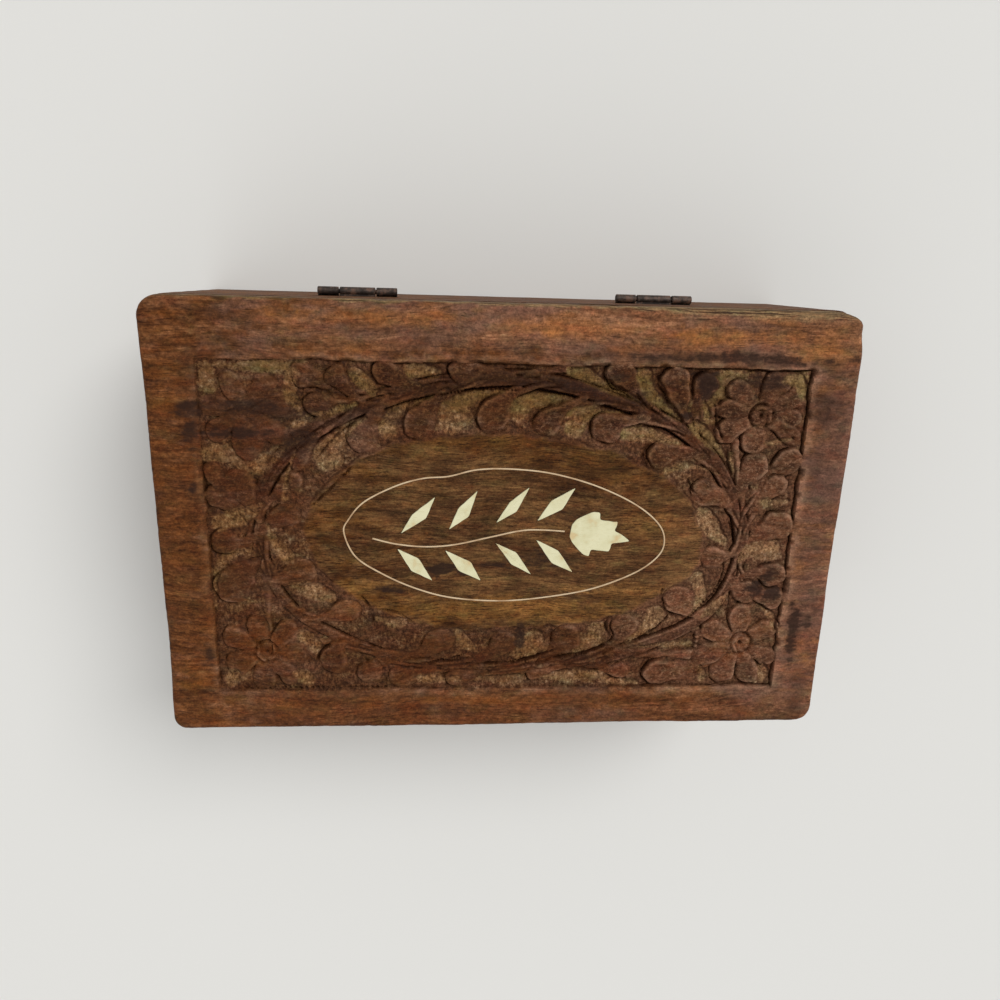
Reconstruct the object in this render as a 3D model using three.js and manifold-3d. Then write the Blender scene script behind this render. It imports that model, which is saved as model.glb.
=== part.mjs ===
// A small carved wooden box with a hinged lid, in millimetres.
//
// The box stands on its base: +Z is up, -Y is the opening side and the hinges
// are on the +Y side. The origin is the middle of the underside.
// The lid is a carved board glued on a frame of four strips. The box below is
// four boards with lapped corners, and a base board nailed into a rebate.
import * as THREE from 'three';
import { mergeVertices } from 'three/addons/utils/BufferGeometryUtils.js';
import Module from 'manifold-3d';

const wasm = await Module();
wasm.setup();

// Whole box
const boxWidth = 155;
const boxDepth = 100;
const bodyHeight = 30;
const lidHeight = 20;
const seamGap = 0.3;

// Boards and their joints
const wallThickness = 8;
const panelThickness = 8;
const baseThickness = 5;
const cornerRadius = 3.5;
const cornerLap = 4;
const baseRebate = 4;
const glueLine = 0.1;
const lidEdgeRound = 1.5;

// Carved field of the lid, and the plain border round it
const borderSide = 11;
const borderBack = 12.5;
const borderFront = 10;
const carvingDepth = 2.4;

// Inlay in the medallion
const inlayThickness = 1.2;
const inlayFit = 0.1;
const wireWidth = 0.4;

// Hinges, one at each side of the back
const hingeLength = 18;
const hingeSpacing = 69;
const middleKnuckleLength = 8;
const knuckleGap = 0.3;
const leafWidth = 6.5;
const leafThickness = 0.5;
const leafFit = 0.1;
const barrelRadius = 0.95;
const barrelStandOff = 0.1;
const barrelClearance = 0.3;
const pinRadius = 0.5;
const pinFit = 0.1;

// Hinge screws
const screwHeadRadius = 1.3;
const screwShankRadius = 0.7;
const screwLength = 7;
const screwPointLength = 2;
const screwSlotWidth = 0.4;
const screwSlotDepth = 0.3;
const screwFit = 0.1;

// Nails in the base
const nailHeadRadius = 1.1;
const nailHeadHeight = 0.6;
const nailShankRadius = 0.6;
const nailLength = 12;
const nailPointLength = 1.4;
const nailFit = 0.1;
const nailHeadInset = 0.1;

// How far a cutting shape runs past what it cuts
const cutOverrun = 2;

// Sides of round pieces, and steps along curves
const barrelSides = 20;
const fastenerSides = 12;
const cornerSteps = 6;
const roundingSteps = 3;
const leafSteps = 4;
const leafEndSteps = 5;
const vineStepsPerPoint = 3;
const medallionStepsPerPoint = 3;
const ringStepsPerPoint = 3;
const stemStepsPerPoint = 3;

// Places on the lid are shares of its half width and half depth, from its
// middle, and widths on it are shares of its half depth.
const nailRowShares = [-0.72, 0, 0.72];
const screwAlongLeafShare = 0.3;

// The flat medallion that stands at the level of the border
const medallionShares = [
  [-0.583, -0.02], [-0.57, 0.1], [-0.516, 0.206], [-0.452, 0.296], [-0.335, 0.386],
  [-0.155, 0.432], [0.052, 0.432], [0.232, 0.392], [0.374, 0.316], [0.477, 0.228],
  [0.555, 0.11], [0.581, -0.04], [0.568, -0.18], [0.49, -0.296], [0.387, -0.388],
  [0.232, -0.452], [0.026, -0.472], [-0.181, -0.476], [-0.335, -0.418], [-0.452, -0.316],
  [-0.542, -0.18],
];

// The main vine runs round the medallion: x, y, half width
const vineShares = [
  [-0.716, 0, 0.032], [-0.701, 0.16, 0.036], [-0.645, 0.31, 0.038], [-0.555, 0.44, 0.044],
  [-0.439, 0.544, 0.046], [-0.297, 0.616, 0.042], [-0.129, 0.672, 0.04], [0.026, 0.686, 0.038],
  [0.168, 0.652, 0.038], [0.323, 0.58, 0.032], [0.465, 0.492, 0.032], [0.574, 0.37, 0.034],
  [0.652, 0.2, 0.034], [0.701, 0.02, 0.036], [0.707, -0.14, 0.032], [0.668, -0.32, 0.03],
  [0.594, -0.456, 0.032], [0.477, -0.552, 0.036], [0.335, -0.628, 0.04], [0.168, -0.676, 0.038],
  [-0.013, -0.7, 0.034], [-0.194, -0.68, 0.03], [-0.361, -0.62, 0.028], [-0.503, -0.52, 0.026],
  [-0.619, -0.4, 0.024], [-0.69, -0.22, 0.026],
];

// Each stem or leaf is a stroke of three places, tail, middle and head, and
// the half width at each: x, y, x, y, x, y, then the three half widths
const stemStrokeShares = [
  [-0.465, 0.52, -0.568, 0.46, -0.684, 0.45, 0.024, 0.028, 0.032],
  [0.503, 0.5, 0.555, 0.55, 0.632, 0.57, 0.024, 0.024, 0.032],
  [0.69, 0.08, 0.675, 0.24, 0.652, 0.42, 0.02, 0.016, 0.018],
  [0.71, -0.06, 0.726, 0.06, 0.733, 0.18, 0.018, 0.016, 0.022],
  [0.568, -0.48, 0.606, -0.51, 0.658, -0.53, 0.022, 0.022, 0.028],
  [0.374, -0.62, 0.49, -0.626, 0.606, -0.63, 0.024, 0.024, 0.032],
  [-0.49, -0.54, -0.568, -0.556, -0.645, -0.59, 0.024, 0.02, 0.032],
  [-0.703, -0.16, -0.697, -0.32, -0.703, -0.48, 0.022, 0.018, 0.024],
];

const outerLeafShares = [
  [-0.465, 0.6, -0.529, 0.66, -0.572, 0.684, 0.016, 0.044, 0.052],
  [-0.426, 0.59, -0.465, 0.65, -0.484, 0.684, 0.016, 0.036, 0.044],
  [-0.413, 0.58, -0.477, 0.566, -0.539, 0.56, 0.016, 0.036, 0.05],
  [-0.258, 0.64, -0.31, 0.67, -0.346, 0.7, 0.02, 0.044, 0.056],
  [0, 0.69, -0.09, 0.72, -0.142, 0.706, 0.02, 0.04, 0.052],
  [0.039, 0.7, 0.103, 0.72, 0.148, 0.74, 0.016, 0.024, 0.032],
  [0.394, 0.56, 0.348, 0.646, 0.307, 0.708, 0.014, 0.04, 0.064],
  [0.5, 0.52, 0.475, 0.62, 0.462, 0.688, 0.012, 0.052, 0.064],
  [0.516, 0.54, 0.542, 0.62, 0.552, 0.68, 0.012, 0.04, 0.052],
  [0.684, 0.16, 0.697, 0.24, 0.719, 0.304, 0.016, 0.044, 0.068],
  [0.742, 0.2, 0.787, 0.286, 0.819, 0.332, 0.016, 0.046, 0.062],
  [0.735, 0.09, 0.761, 0.17, 0.795, 0.216, 0.014, 0.036, 0.052],
  [0.723, -0.07, 0.768, -0.02, 0.813, 0.028, 0.014, 0.048, 0.07],
  [0.716, -0.23, 0.774, -0.212, 0.817, -0.216, 0.014, 0.04, 0.058],
  [0.69, -0.26, 0.723, -0.3, 0.746, -0.304, 0.02, 0.048, 0.06],
  [0.755, -0.3, 0.787, -0.324, 0.826, -0.332, 0.03, 0.046, 0.056],
  [-0.71, 0.04, -0.735, 0.12, -0.761, 0.206, 0.016, 0.04, 0.072],
  [-0.735, 0.08, -0.787, 0.12, -0.826, 0.156, 0.02, 0.04, 0.052],
  [-0.787, 0.18, -0.826, 0.23, -0.834, 0.272, 0.04, 0.044, 0.04],
  [-0.723, -0.03, -0.768, -0.066, -0.813, -0.056, 0.016, 0.036, 0.058],
  [-0.716, -0.14, -0.755, -0.2, -0.8, -0.27, 0.016, 0.06, 0.084],
  [0.645, -0.67, 0.555, -0.716, 0.484, -0.72, 0.032, 0.062, 0.068],
  [0.284, -0.67, 0.335, -0.708, 0.369, -0.714, 0.02, 0.032, 0.038],
  [0.181, -0.68, 0.129, -0.716, 0.09, -0.728, 0.016, 0.02, 0.026],
  [-0.052, -0.71, -0.116, -0.736, -0.15, -0.746, 0.016, 0.03, 0.038],
  [-0.219, -0.692, -0.271, -0.728, -0.315, -0.74, 0.02, 0.04, 0.054],
  [-0.323, -0.64, -0.381, -0.67, -0.405, -0.708, 0.016, 0.04, 0.06],
  [-0.477, -0.54, -0.503, -0.596, -0.512, -0.644, 0.016, 0.048, 0.066],
];

const innerLeafShares = [
  [-0.181, 0.63, -0.232, 0.54, -0.258, 0.486, 0.016, 0.056, 0.072],
  [0.026, 0.65, -0.026, 0.58, -0.049, 0.52, 0.014, 0.052, 0.072],
  [0.206, 0.606, 0.142, 0.556, 0.103, 0.49, 0.012, 0.036, 0.06],
  [0.387, 0.526, 0.323, 0.506, 0.275, 0.472, 0.014, 0.04, 0.068],
  [0.574, 0.35, 0.497, 0.372, 0.434, 0.356, 0.016, 0.04, 0.056],
  [0.665, 0.12, 0.619, 0.166, 0.579, 0.184, 0.012, 0.048, 0.064],
  [0.7, -0.11, 0.658, -0.126, 0.622, -0.128, 0.014, 0.04, 0.058],
  [0.606, -0.44, 0.568, -0.39, 0.529, -0.336, 0.016, 0.052, 0.068],
  [0.31, -0.62, 0.355, -0.54, 0.372, -0.476, 0.014, 0.04, 0.068],
  [0.103, -0.67, 0.161, -0.596, 0.194, -0.536, 0.014, 0.044, 0.068],
  [-0.103, -0.68, -0.039, -0.61, -0.003, -0.552, 0.014, 0.04, 0.058],
  [-0.31, -0.64, -0.239, -0.6, -0.191, -0.544, 0.014, 0.04, 0.064],
  [-0.594, -0.44, -0.516, -0.42, -0.465, -0.39, 0.016, 0.04, 0.056],
  [-0.684, -0.25, -0.639, -0.226, -0.596, -0.2, 0.014, 0.048, 0.064],
  [-0.71, -0.03, -0.671, 0.04, -0.63, 0.064, 0.014, 0.044, 0.056],
  [-0.69, 0.12, -0.645, 0.18, -0.614, 0.22, 0.012, 0.032, 0.048],
  [-0.348, 0.6, -0.387, 0.5, -0.413, 0.42, 0.014, 0.04, 0.066],
  [-0.529, 0.46, -0.561, 0.37, -0.594, 0.3, 0.012, 0.026, 0.036],
];

// A flower in each corner: its middle, then each petal's x, y and half width
const flowerShares = [
  {
    middle: [-0.735, 0.54],
    petals: [
      [-0.826, 0.55, 0.046], [-0.813, 0.436, 0.05], [-0.729, 0.38, 0.068], [-0.652, 0.43, 0.052],
      [-0.643, 0.56, 0.056], [-0.675, 0.644, 0.05], [-0.765, 0.644, 0.054],
    ],
  },
  {
    middle: [0.723, 0.54],
    petals: [
      [0.649, 0.648, 0.052], [0.756, 0.68, 0.056], [0.815, 0.62, 0.044], [0.818, 0.528, 0.036],
      [0.818, 0.452, 0.044], [0.71, 0.424, 0.064], [0.627, 0.472, 0.056], [0.618, 0.572, 0.044],
    ],
  },
  {
    middle: [0.742, -0.57],
    petals: [
      [0.729, -0.426, 0.06], [0.648, -0.5, 0.056], [0.631, -0.628, 0.06], [0.692, -0.724, 0.06],
      [0.779, -0.724, 0.056], [0.828, -0.64, 0.05], [0.823, -0.496, 0.052],
    ],
  },
  {
    middle: [-0.71, -0.6],
    petals: [
      [-0.803, -0.52, 0.056], [-0.8, -0.656, 0.06], [-0.723, -0.736, 0.058], [-0.649, -0.72, 0.048],
      [-0.627, -0.62, 0.054], [-0.65, -0.496, 0.056], [-0.735, -0.464, 0.052],
    ],
  },
];
const petalTailShare = 0.6;
const petalMiddleShare = 0.85;

// Inlay: the ring and the stem are wires, the leaves and the flower are plates
const ringShares = [
  [-0.472, -0.012], [-0.459, 0.048], [-0.413, 0.132], [-0.323, 0.206], [-0.245, 0.242],
  [-0.174, 0.252], [-0.09, 0.284], [0.013, 0.288], [0.129, 0.268], [0.258, 0.212],
  [0.374, 0.128], [0.446, 0.038], [0.468, -0.044], [0.452, -0.12], [0.387, -0.2],
  [0.265, -0.278], [0.129, -0.32], [-0.013, -0.34], [-0.161, -0.324], [-0.271, -0.276],
  [-0.368, -0.204], [-0.441, -0.124],
];
const inlayStemShares = [
  [-0.391, -0.038], [-0.323, -0.064], [-0.239, -0.076], [-0.155, -0.066], [-0.052, -0.03],
  [0.039, 0.002], [0.103, 0.006],
];
const inlayLeafShares = [
  [[-0.312, -0.018], [-0.277, 0.076], [-0.21, 0.16], [-0.236, 0.058]],
  [[-0.172, 0.004], [-0.145, 0.106], [-0.089, 0.19], [-0.114, 0.066]],
  [[-0.036, 0.036], [0.003, 0.136], [0.061, 0.208], [0.025, 0.092]],
  [[0.084, 0.046], [0.123, 0.144], [0.194, 0.206], [0.159, 0.104]],
  [[-0.321, -0.086], [-0.258, -0.132], [-0.217, -0.242], [-0.281, -0.192]],
  [[-0.183, -0.092], [-0.106, -0.148], [-0.074, -0.242], [-0.142, -0.192]],
  [[-0.036, -0.056], [0.028, -0.102], [0.075, -0.212], [0.013, -0.16]],
  [[0.083, -0.04], [0.152, -0.092], [0.199, -0.2], [0.133, -0.154]],
];
const inlayFlowerShares = [
  [0.185, -0.002], [0.188, 0.032], [0.201, 0.058], [0.226, 0.078], [0.25, 0.094],
  [0.27, 0.09], [0.271, 0.056], [0.312, 0.046], [0.324, 0.048], [0.323, 0.03],
  [0.316, 0.004], [0.342, -0.018], [0.364, -0.046], [0.335, -0.054], [0.31, -0.058],
  [0.308, -0.076], [0.303, -0.098], [0.271, -0.092], [0.249, -0.088], [0.244, -0.122],
  [0.226, -0.112], [0.209, -0.086], [0.19, -0.052], [0.182, -0.024],
];

// Sizes worked out from the ones above
const halfWidth = boxWidth / 2;
const halfDepth = boxDepth / 2;
const lidBottom = bodyHeight + seamGap;
const lidTop = lidBottom + lidHeight;
const panelBottom = lidTop - panelThickness;
const rimTop = panelBottom - glueLine;
const insideHalfWidth = halfWidth - wallThickness;
const insideHalfDepth = halfDepth - wallThickness;
const baseHalfWidth = insideHalfWidth + baseRebate;
const baseHalfDepth = insideHalfDepth + baseRebate;
const hingeAxisY = halfDepth + barrelStandOff + barrelRadius;
const hingeAxisZ = bodyHeight + seamGap / 2;
const leafFrontY = halfDepth - leafWidth;
const leafBackY = hingeAxisY - barrelRadius - barrelClearance;
const screwY = (leafFrontY + leafBackY) / 2;
const inlayBottom = lidTop - inlayThickness;

const oldWood = { color: 0x8b5a3e, roughness: 0.72, metalness: 0 };
const plainWood = { color: 0x94694a, roughness: 0.8, metalness: 0 };
const creamInlay = { color: 0xe6dcc2, roughness: 0.45, metalness: 0 };
const darkMetal = { color: 0x3a2f27, roughness: 0.6, metalness: 0.8 };

// Solids and meshes

// Triangles whose corners meet, as on the axis of a turned piece, are left out
function toSolid(geometry) {
  const bare = geometry.clone();
  bare.deleteAttribute('normal');
  bare.deleteAttribute('uv');
  const merged = mergeVertices(bare);
  const corners = merged.index.array;
  const kept = [];
  for (let start = 0; start < corners.length; start += 3) {
    const [a, b, c] = corners.slice(start, start + 3);
    if (a !== b && b !== c && c !== a) {
      kept.push(a, b, c);
    }
  }
  return new wasm.Manifold(new wasm.Mesh({
    numProp: 3,
    vertProperties: merged.attributes.position.array,
    triVerts: Uint32Array.from(kept),
  }));
}

function toMesh(name, solid, finish) {
  const { vertProperties, triVerts } = solid.getMesh();
  const geometry = new THREE.BufferGeometry();
  geometry.setAttribute('position', new THREE.BufferAttribute(vertProperties, 3));
  geometry.setIndex(new THREE.BufferAttribute(triVerts, 1));
  geometry.computeVertexNormals();
  const mesh = new THREE.Mesh(geometry, new THREE.MeshStandardMaterial(finish));
  mesh.name = name;
  return mesh;
}

function block([lowX, lowY, lowZ], [highX, highY, highZ]) {
  const geometry = new THREE.BoxGeometry(highX - lowX, highY - lowY, highZ - lowZ);
  geometry.translate((lowX + highX) / 2, (lowY + highY) / 2, (lowZ + highZ) / 2);
  return toSolid(geometry);
}

function prism(shape, low, high) {
  const geometry = new THREE.ExtrudeGeometry(shape, {
    depth: high - low,
    bevelEnabled: false,
    curveSegments: cornerSteps,
  });
  geometry.translate(0, 0, low);
  return toSolid(geometry);
}

function roundedRectangle(halfX, halfY, radius) {
  const shape = new THREE.Shape();
  shape.moveTo(radius - halfX, -halfY);
  shape.absarc(halfX - radius, radius - halfY, radius, -Math.PI / 2, 0);
  shape.absarc(halfX - radius, halfY - radius, radius, 0, Math.PI / 2);
  shape.absarc(radius - halfX, halfY - radius, radius, Math.PI / 2, Math.PI);
  shape.absarc(radius - halfX, radius - halfY, radius, Math.PI, Math.PI * 1.5);
  return shape;
}

// A turned piece along Z, from a profile of radius and height, turned over
// where it points down
function turned(profile, place, down) {
  const points = profile.map(([radius, height]) => new THREE.Vector2(radius, height));
  const geometry = new THREE.LatheGeometry(points, fastenerSides);
  geometry.rotateX(down ? -Math.PI / 2 : Math.PI / 2);
  geometry.translate(...place);
  return toSolid(geometry);
}

// A round bar along X
function barAlongX(radius, length, middle) {
  const geometry = new THREE.CylinderGeometry(radius, radius, length, barrelSides);
  geometry.rotateZ(Math.PI / 2);
  geometry.translate(...middle);
  return toSolid(geometry);
}

// Outlines on the lid

const onLid = ([shareX, shareY]) => new THREE.Vector2(shareX * halfWidth, shareY * halfDepth);

function smoothLoop(places, stepsPerPoint) {
  const points = places.map((place) => new THREE.Vector3(place.x, place.y, 0));
  const curve = new THREE.CatmullRomCurve3(points, true);
  return curve.getPoints(places.length * stepsPerPoint).slice(0, -1);
}

// Moves each point of a closed outline sideways, with mitred corners
function growOutline(points, distance) {
  const turn = THREE.ShapeUtils.isClockWise(points) ? -1 : 1;
  return points.map((point, index) => {
    const before = points[(index + points.length - 1) % points.length];
    const after = points[(index + 1) % points.length];
    const into = new THREE.Vector2().subVectors(point, before).normalize();
    const out = new THREE.Vector2().subVectors(after, point).normalize();
    const side = new THREE.Vector2(into.y + out.y, -into.x - out.x).multiplyScalar(turn);
    const reach = distance / (1 + into.dot(out));
    return new THREE.Vector2(point.x + side.x * reach, point.y + side.y * reach);
  });
}

// Left and right edges of a band along a path of points with half widths
function bandEdges(path, closed) {
  const count = path.length;
  const left = [];
  const right = [];
  path.forEach(({ x, y, half }, index) => {
    const before = path[closed ? (index + count - 1) % count : Math.max(index - 1, 0)];
    const after = path[closed ? (index + 1) % count : Math.min(index + 1, count - 1)];
    const along = new THREE.Vector2(after.x - before.x, after.y - before.y).normalize();
    left.push(new THREE.Vector2(x - along.y * half, y + along.x * half));
    right.push(new THREE.Vector2(x + along.y * half, y - along.x * half));
  });
  return { left, right };
}

function closedBand(path) {
  const { left, right } = bandEdges(path, true);
  const area = (points) => Math.abs(THREE.ShapeUtils.area(points));
  const [outer, inner] = area(left) > area(right) ? [left, right] : [right, left];
  const shape = new THREE.Shape(outer);
  shape.holes.push(new THREE.Path(inner.reverse()));
  return shape;
}

function openBand(path) {
  const { left, right } = bandEdges(path, false);
  return new THREE.Shape([...right, ...left.reverse()]);
}

// One carved stem, leaf or petal: a curved stroke that ends in a round head
function strokeShape([tailX, tailY, middleX, middleY, headX, headY, tailHalf, middleHalf, headHalf]) {
  const tail = onLid([tailX, tailY]);
  const middle = onLid([middleX, middleY]);
  const head = onLid([headX, headY]);
  const curve = new THREE.SplineCurve([tail, middle, head]);
  const halves = new THREE.SplineCurve([
    new THREE.Vector2(0, tailHalf),
    new THREE.Vector2(0, middleHalf),
    new THREE.Vector2(0, headHalf),
  ]);
  const path = [];
  for (let step = 0; step <= leafSteps; step += 1) {
    const { x, y } = curve.getPoint(step / leafSteps);
    path.push({ x, y, half: halves.getPoint(step / leafSteps).y * halfDepth });
  }
  const { left, right } = bandEdges(path, false);
  const headRadius = headHalf * halfDepth;
  const towards = Math.atan2(right.at(-1).y - head.y, right.at(-1).x - head.x);
  const cap = [];
  for (let step = 1; step < leafEndSteps; step += 1) {
    const angle = towards + Math.PI * step / leafEndSteps;
    cap.push(new THREE.Vector2(
      head.x + Math.cos(angle) * headRadius,
      head.y + Math.sin(angle) * headRadius,
    ));
  }
  return new THREE.Shape([...right, ...cap, ...left.reverse()]);
}

function petalStroke([middleX, middleY], [headX, headY, half]) {
  return [
    middleX, middleY, (middleX + headX) / 2, (middleY + headY) / 2, headX, headY,
    half * petalTailShare, half * petalMiddleShare, half,
  ];
}

function vinePath() {
  const curve = new THREE.CatmullRomCurve3(
    vineShares.map(([x, y, half]) => new THREE.Vector3(x * halfWidth, y * halfDepth, half * halfDepth)),
    true,
  );
  return curve.getPoints(vineShares.length * vineStepsPerPoint).slice(0, -1)
    .map(({ x, y, z }) => ({ x, y, half: z }));
}

// Everything in the field that the carver leaves standing
function standingRelief() {
  const strokes = [
    ...stemStrokeShares,
    ...outerLeafShares,
    ...innerLeafShares,
    ...flowerShares.flatMap(({ middle, petals }) => petals.map((petal) => petalStroke(middle, petal))),
  ];
  const shapes = [
    new THREE.Shape(smoothLoop(medallionShares.map(onLid), medallionStepsPerPoint)),
    closedBand(vinePath()),
    ...strokes.map(strokeShape),
  ];
  const low = lidTop - carvingDepth - cutOverrun;
  const high = lidTop + cutOverrun * 2;
  return wasm.Manifold.union(shapes.map((shape) => prism(shape, low, high)));
}

// Inlay outlines, each grown by a fit for its pocket

function ringShape(grow) {
  const half = wireWidth / 2 + grow;
  const path = smoothLoop(ringShares.map(onLid), ringStepsPerPoint)
    .map(({ x, y }) => ({ x, y, half }));
  return closedBand(path);
}

function inlayStemShape(grow) {
  const half = wireWidth / 2 + grow;
  const flowerEdge = onLid(inlayFlowerShares[0]);
  const places = inlayStemShares.map(onLid);
  places[0].x -= grow;
  places.push(new THREE.Vector2(flowerEdge.x - inlayFit * 2 + grow, flowerEdge.y));
  const curve = new THREE.SplineCurve(places);
  const path = curve.getPoints((places.length - 1) * stemStepsPerPoint)
    .map(({ x, y }) => ({ x, y, half }));
  return openBand(path);
}

const inlayLeafShape = (corners, grow) => new THREE.Shape(growOutline(corners.map(onLid), grow));

const inlayFlowerShape = (grow) => new THREE.Shape(growOutline(inlayFlowerShares.map(onLid), grow));

function inlayShapes(grow) {
  return [
    ringShape(grow),
    inlayStemShape(grow),
    inlayFlowerShape(grow),
    ...inlayLeafShares.map((corners) => inlayLeafShape(corners, grow)),
  ];
}

// Lid

function lidSlab() {
  const geometry = new THREE.ExtrudeGeometry(roundedRectangle(halfWidth, halfDepth, cornerRadius), {
    depth: panelThickness,
    bevelEnabled: true,
    bevelThickness: lidEdgeRound,
    bevelSize: lidEdgeRound,
    bevelOffset: -lidEdgeRound,
    bevelSegments: roundingSteps,
    curveSegments: cornerSteps,
  });
  geometry.translate(0, 0, panelBottom - lidEdgeRound);
  const below = block(
    [-boxWidth, -boxDepth, panelBottom - panelThickness],
    [boxWidth, boxDepth, panelBottom],
  );
  return toSolid(geometry).subtract(below);
}

function lidPanel() {
  const field = block(
    [borderSide - halfWidth, borderFront - halfDepth, lidTop - carvingDepth],
    [halfWidth - borderSide, halfDepth - borderBack, lidTop + cutOverrun],
  );
  const ground = field.subtract(standingRelief());
  const pockets = wasm.Manifold.union(inlayShapes(inlayFit).map(
    (shape) => prism(shape, inlayBottom - inlayFit, lidTop + cutOverrun),
  ));
  return toMesh('lid_panel', lidSlab().subtract(ground).subtract(pockets), oldWood);
}

function inlayPiece(name, shape) {
  return toMesh(name, prism(shape, inlayBottom, lidTop), creamInlay);
}

function inlay() {
  const group = new THREE.Group();
  group.add(inlayPiece('inlay_ring', ringShape(0)));
  group.add(inlayPiece('inlay_stem', inlayStemShape(0)));
  group.add(inlayPiece('inlay_flower', inlayFlowerShape(0)));
  inlayLeafShares.forEach((corners, index) => {
    group.add(inlayPiece(`inlay_leaf_${index + 1}`, inlayLeafShape(corners, 0)));
  });
  return group;
}

// The boards of the rim and of the box

// A long board: side is -1 for the front and 1 for the back. Its ends lap
// over the end grain of the side boards.
function longBoard(side, low, high) {
  const shoulder = insideHalfWidth - glueLine;
  const outline = new THREE.Shape([
    new THREE.Vector2(-halfWidth, side * halfDepth),
    new THREE.Vector2(halfWidth, side * halfDepth),
    new THREE.Vector2(halfWidth, side * (halfDepth - cornerLap)),
    new THREE.Vector2(shoulder, side * (halfDepth - cornerLap)),
    new THREE.Vector2(shoulder, side * insideHalfDepth),
    new THREE.Vector2(-shoulder, side * insideHalfDepth),
    new THREE.Vector2(-shoulder, side * (halfDepth - cornerLap)),
    new THREE.Vector2(-halfWidth, side * (halfDepth - cornerLap)),
  ]);
  const roundedBox = roundedRectangle(halfWidth, halfDepth, cornerRadius);
  return prism(outline, low, high).intersect(prism(roundedBox, low - cutOverrun, high + cutOverrun));
}

// A side board: side is -1 for the left and 1 for the right
function sideBoard(side, low, high) {
  const endY = halfDepth - cornerLap - glueLine;
  const nearX = side * insideHalfWidth;
  const farX = side * halfWidth;
  return block([Math.min(nearX, farX), -endY, low], [Math.max(nearX, farX), endY, high]);
}

// Fasteners

const hingeScrew = {
  headRadius: screwHeadRadius,
  headHeight: leafThickness,
  shankRadius: screwShankRadius,
  length: screwLength,
  pointLength: screwPointLength,
};
const baseNail = {
  headRadius: nailHeadRadius,
  headHeight: nailHeadHeight,
  shankRadius: nailShankRadius,
  length: nailLength,
  pointLength: nailPointLength,
};

// A sunk head, a shank and a point, from the face of the head upwards
function fastener({ headRadius, headHeight, shankRadius, length, pointLength }, place, down) {
  const profile = [
    [0, 0],
    [headRadius, 0],
    [shankRadius, headHeight],
    [shankRadius, length - pointLength],
    [0, length],
  ];
  return turned(profile, place, down);
}

// The hole that the fastener sits in, open past the face of the head
function fastenerHole({ headRadius, headHeight, shankRadius, length }, fit, place, down) {
  const profile = [
    [0, -cutOverrun],
    [headRadius + fit, -cutOverrun],
    [headRadius + fit, 0],
    [shankRadius + fit, headHeight + fit],
    [shankRadius + fit, length + fit],
    [0, length + fit],
  ];
  return turned(profile, place, down);
}

function nailPlaces() {
  const ledgeX = insideHalfWidth + baseRebate / 2;
  const ledgeY = insideHalfDepth + baseRebate / 2;
  const rows = nailRowShares.flatMap((share) => [
    [share * insideHalfWidth, -ledgeY, nailHeadInset],
    [share * insideHalfWidth, ledgeY, nailHeadInset],
  ]);
  return [...rows, [-ledgeX, 0, nailHeadInset], [ledgeX, 0, nailHeadInset]];
}

const nailHoles = () => nailPlaces().map((place) => fastenerHole(baseNail, nailFit, place, false));

function baseNails() {
  const group = new THREE.Group();
  nailPlaces().forEach((place, index) => {
    group.add(toMesh(`base_nail_${index + 1}`, fastener(baseNail, place, false), darkMetal));
  });
  return group;
}

// Hinges: side is -1 for the left one and 1 for the right one

const hingeX = (side) => side * hingeSpacing / 2;

function screwPlaces(side, faceZ) {
  const reach = hingeLength * screwAlongLeafShare;
  return [-reach, reach].map((offset) => [hingeX(side) + offset, screwY, faceZ]);
}

// The lid leaf carries the middle knuckle, the box leaf the two end ones
function knuckleSpans(onLidLeaf) {
  const middleHalf = middleKnuckleLength / 2;
  if (onLidLeaf) {
    return [[-middleHalf, middleHalf]];
  }
  return [
    [-hingeLength / 2, -middleHalf - knuckleGap],
    [middleHalf + knuckleGap, hingeLength / 2],
  ];
}

function hingeLeaf(side, onLidLeaf) {
  const x = hingeX(side);
  const low = onLidLeaf ? lidBottom : bodyHeight - leafThickness;
  const high = low + leafThickness;
  const faceZ = onLidLeaf ? lidBottom : bodyHeight;
  let leaf = block([x - hingeLength / 2, leafFrontY, low], [x + hingeLength / 2, leafBackY, high]);
  knuckleSpans(onLidLeaf).forEach(([start, end]) => {
    const tab = block([x + start, screwY, low], [x + end, hingeAxisY, high]);
    const middle = [x + (start + end) / 2, hingeAxisY, hingeAxisZ];
    leaf = leaf.add(tab).add(barAlongX(barrelRadius, end - start, middle));
  });
  const bore = barAlongX(pinRadius + pinFit, hingeLength + cutOverrun, [x, hingeAxisY, hingeAxisZ]);
  leaf = leaf.subtract(bore);
  screwPlaces(side, faceZ).forEach((place) => {
    leaf = leaf.subtract(fastenerHole(hingeScrew, screwFit, place, !onLidLeaf));
  });
  return leaf;
}

function hingeScrewSolid(place, down) {
  const [x, y, faceZ] = place;
  const depth = down ? -screwSlotDepth : screwSlotDepth;
  const past = down ? cutOverrun : -cutOverrun;
  const slot = block(
    [x - screwHeadRadius - cutOverrun, y - screwSlotWidth / 2, faceZ + Math.min(depth, past)],
    [x + screwHeadRadius + cutOverrun, y + screwSlotWidth / 2, faceZ + Math.max(depth, past)],
  );
  return fastener(hingeScrew, place, down).subtract(slot);
}

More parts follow.
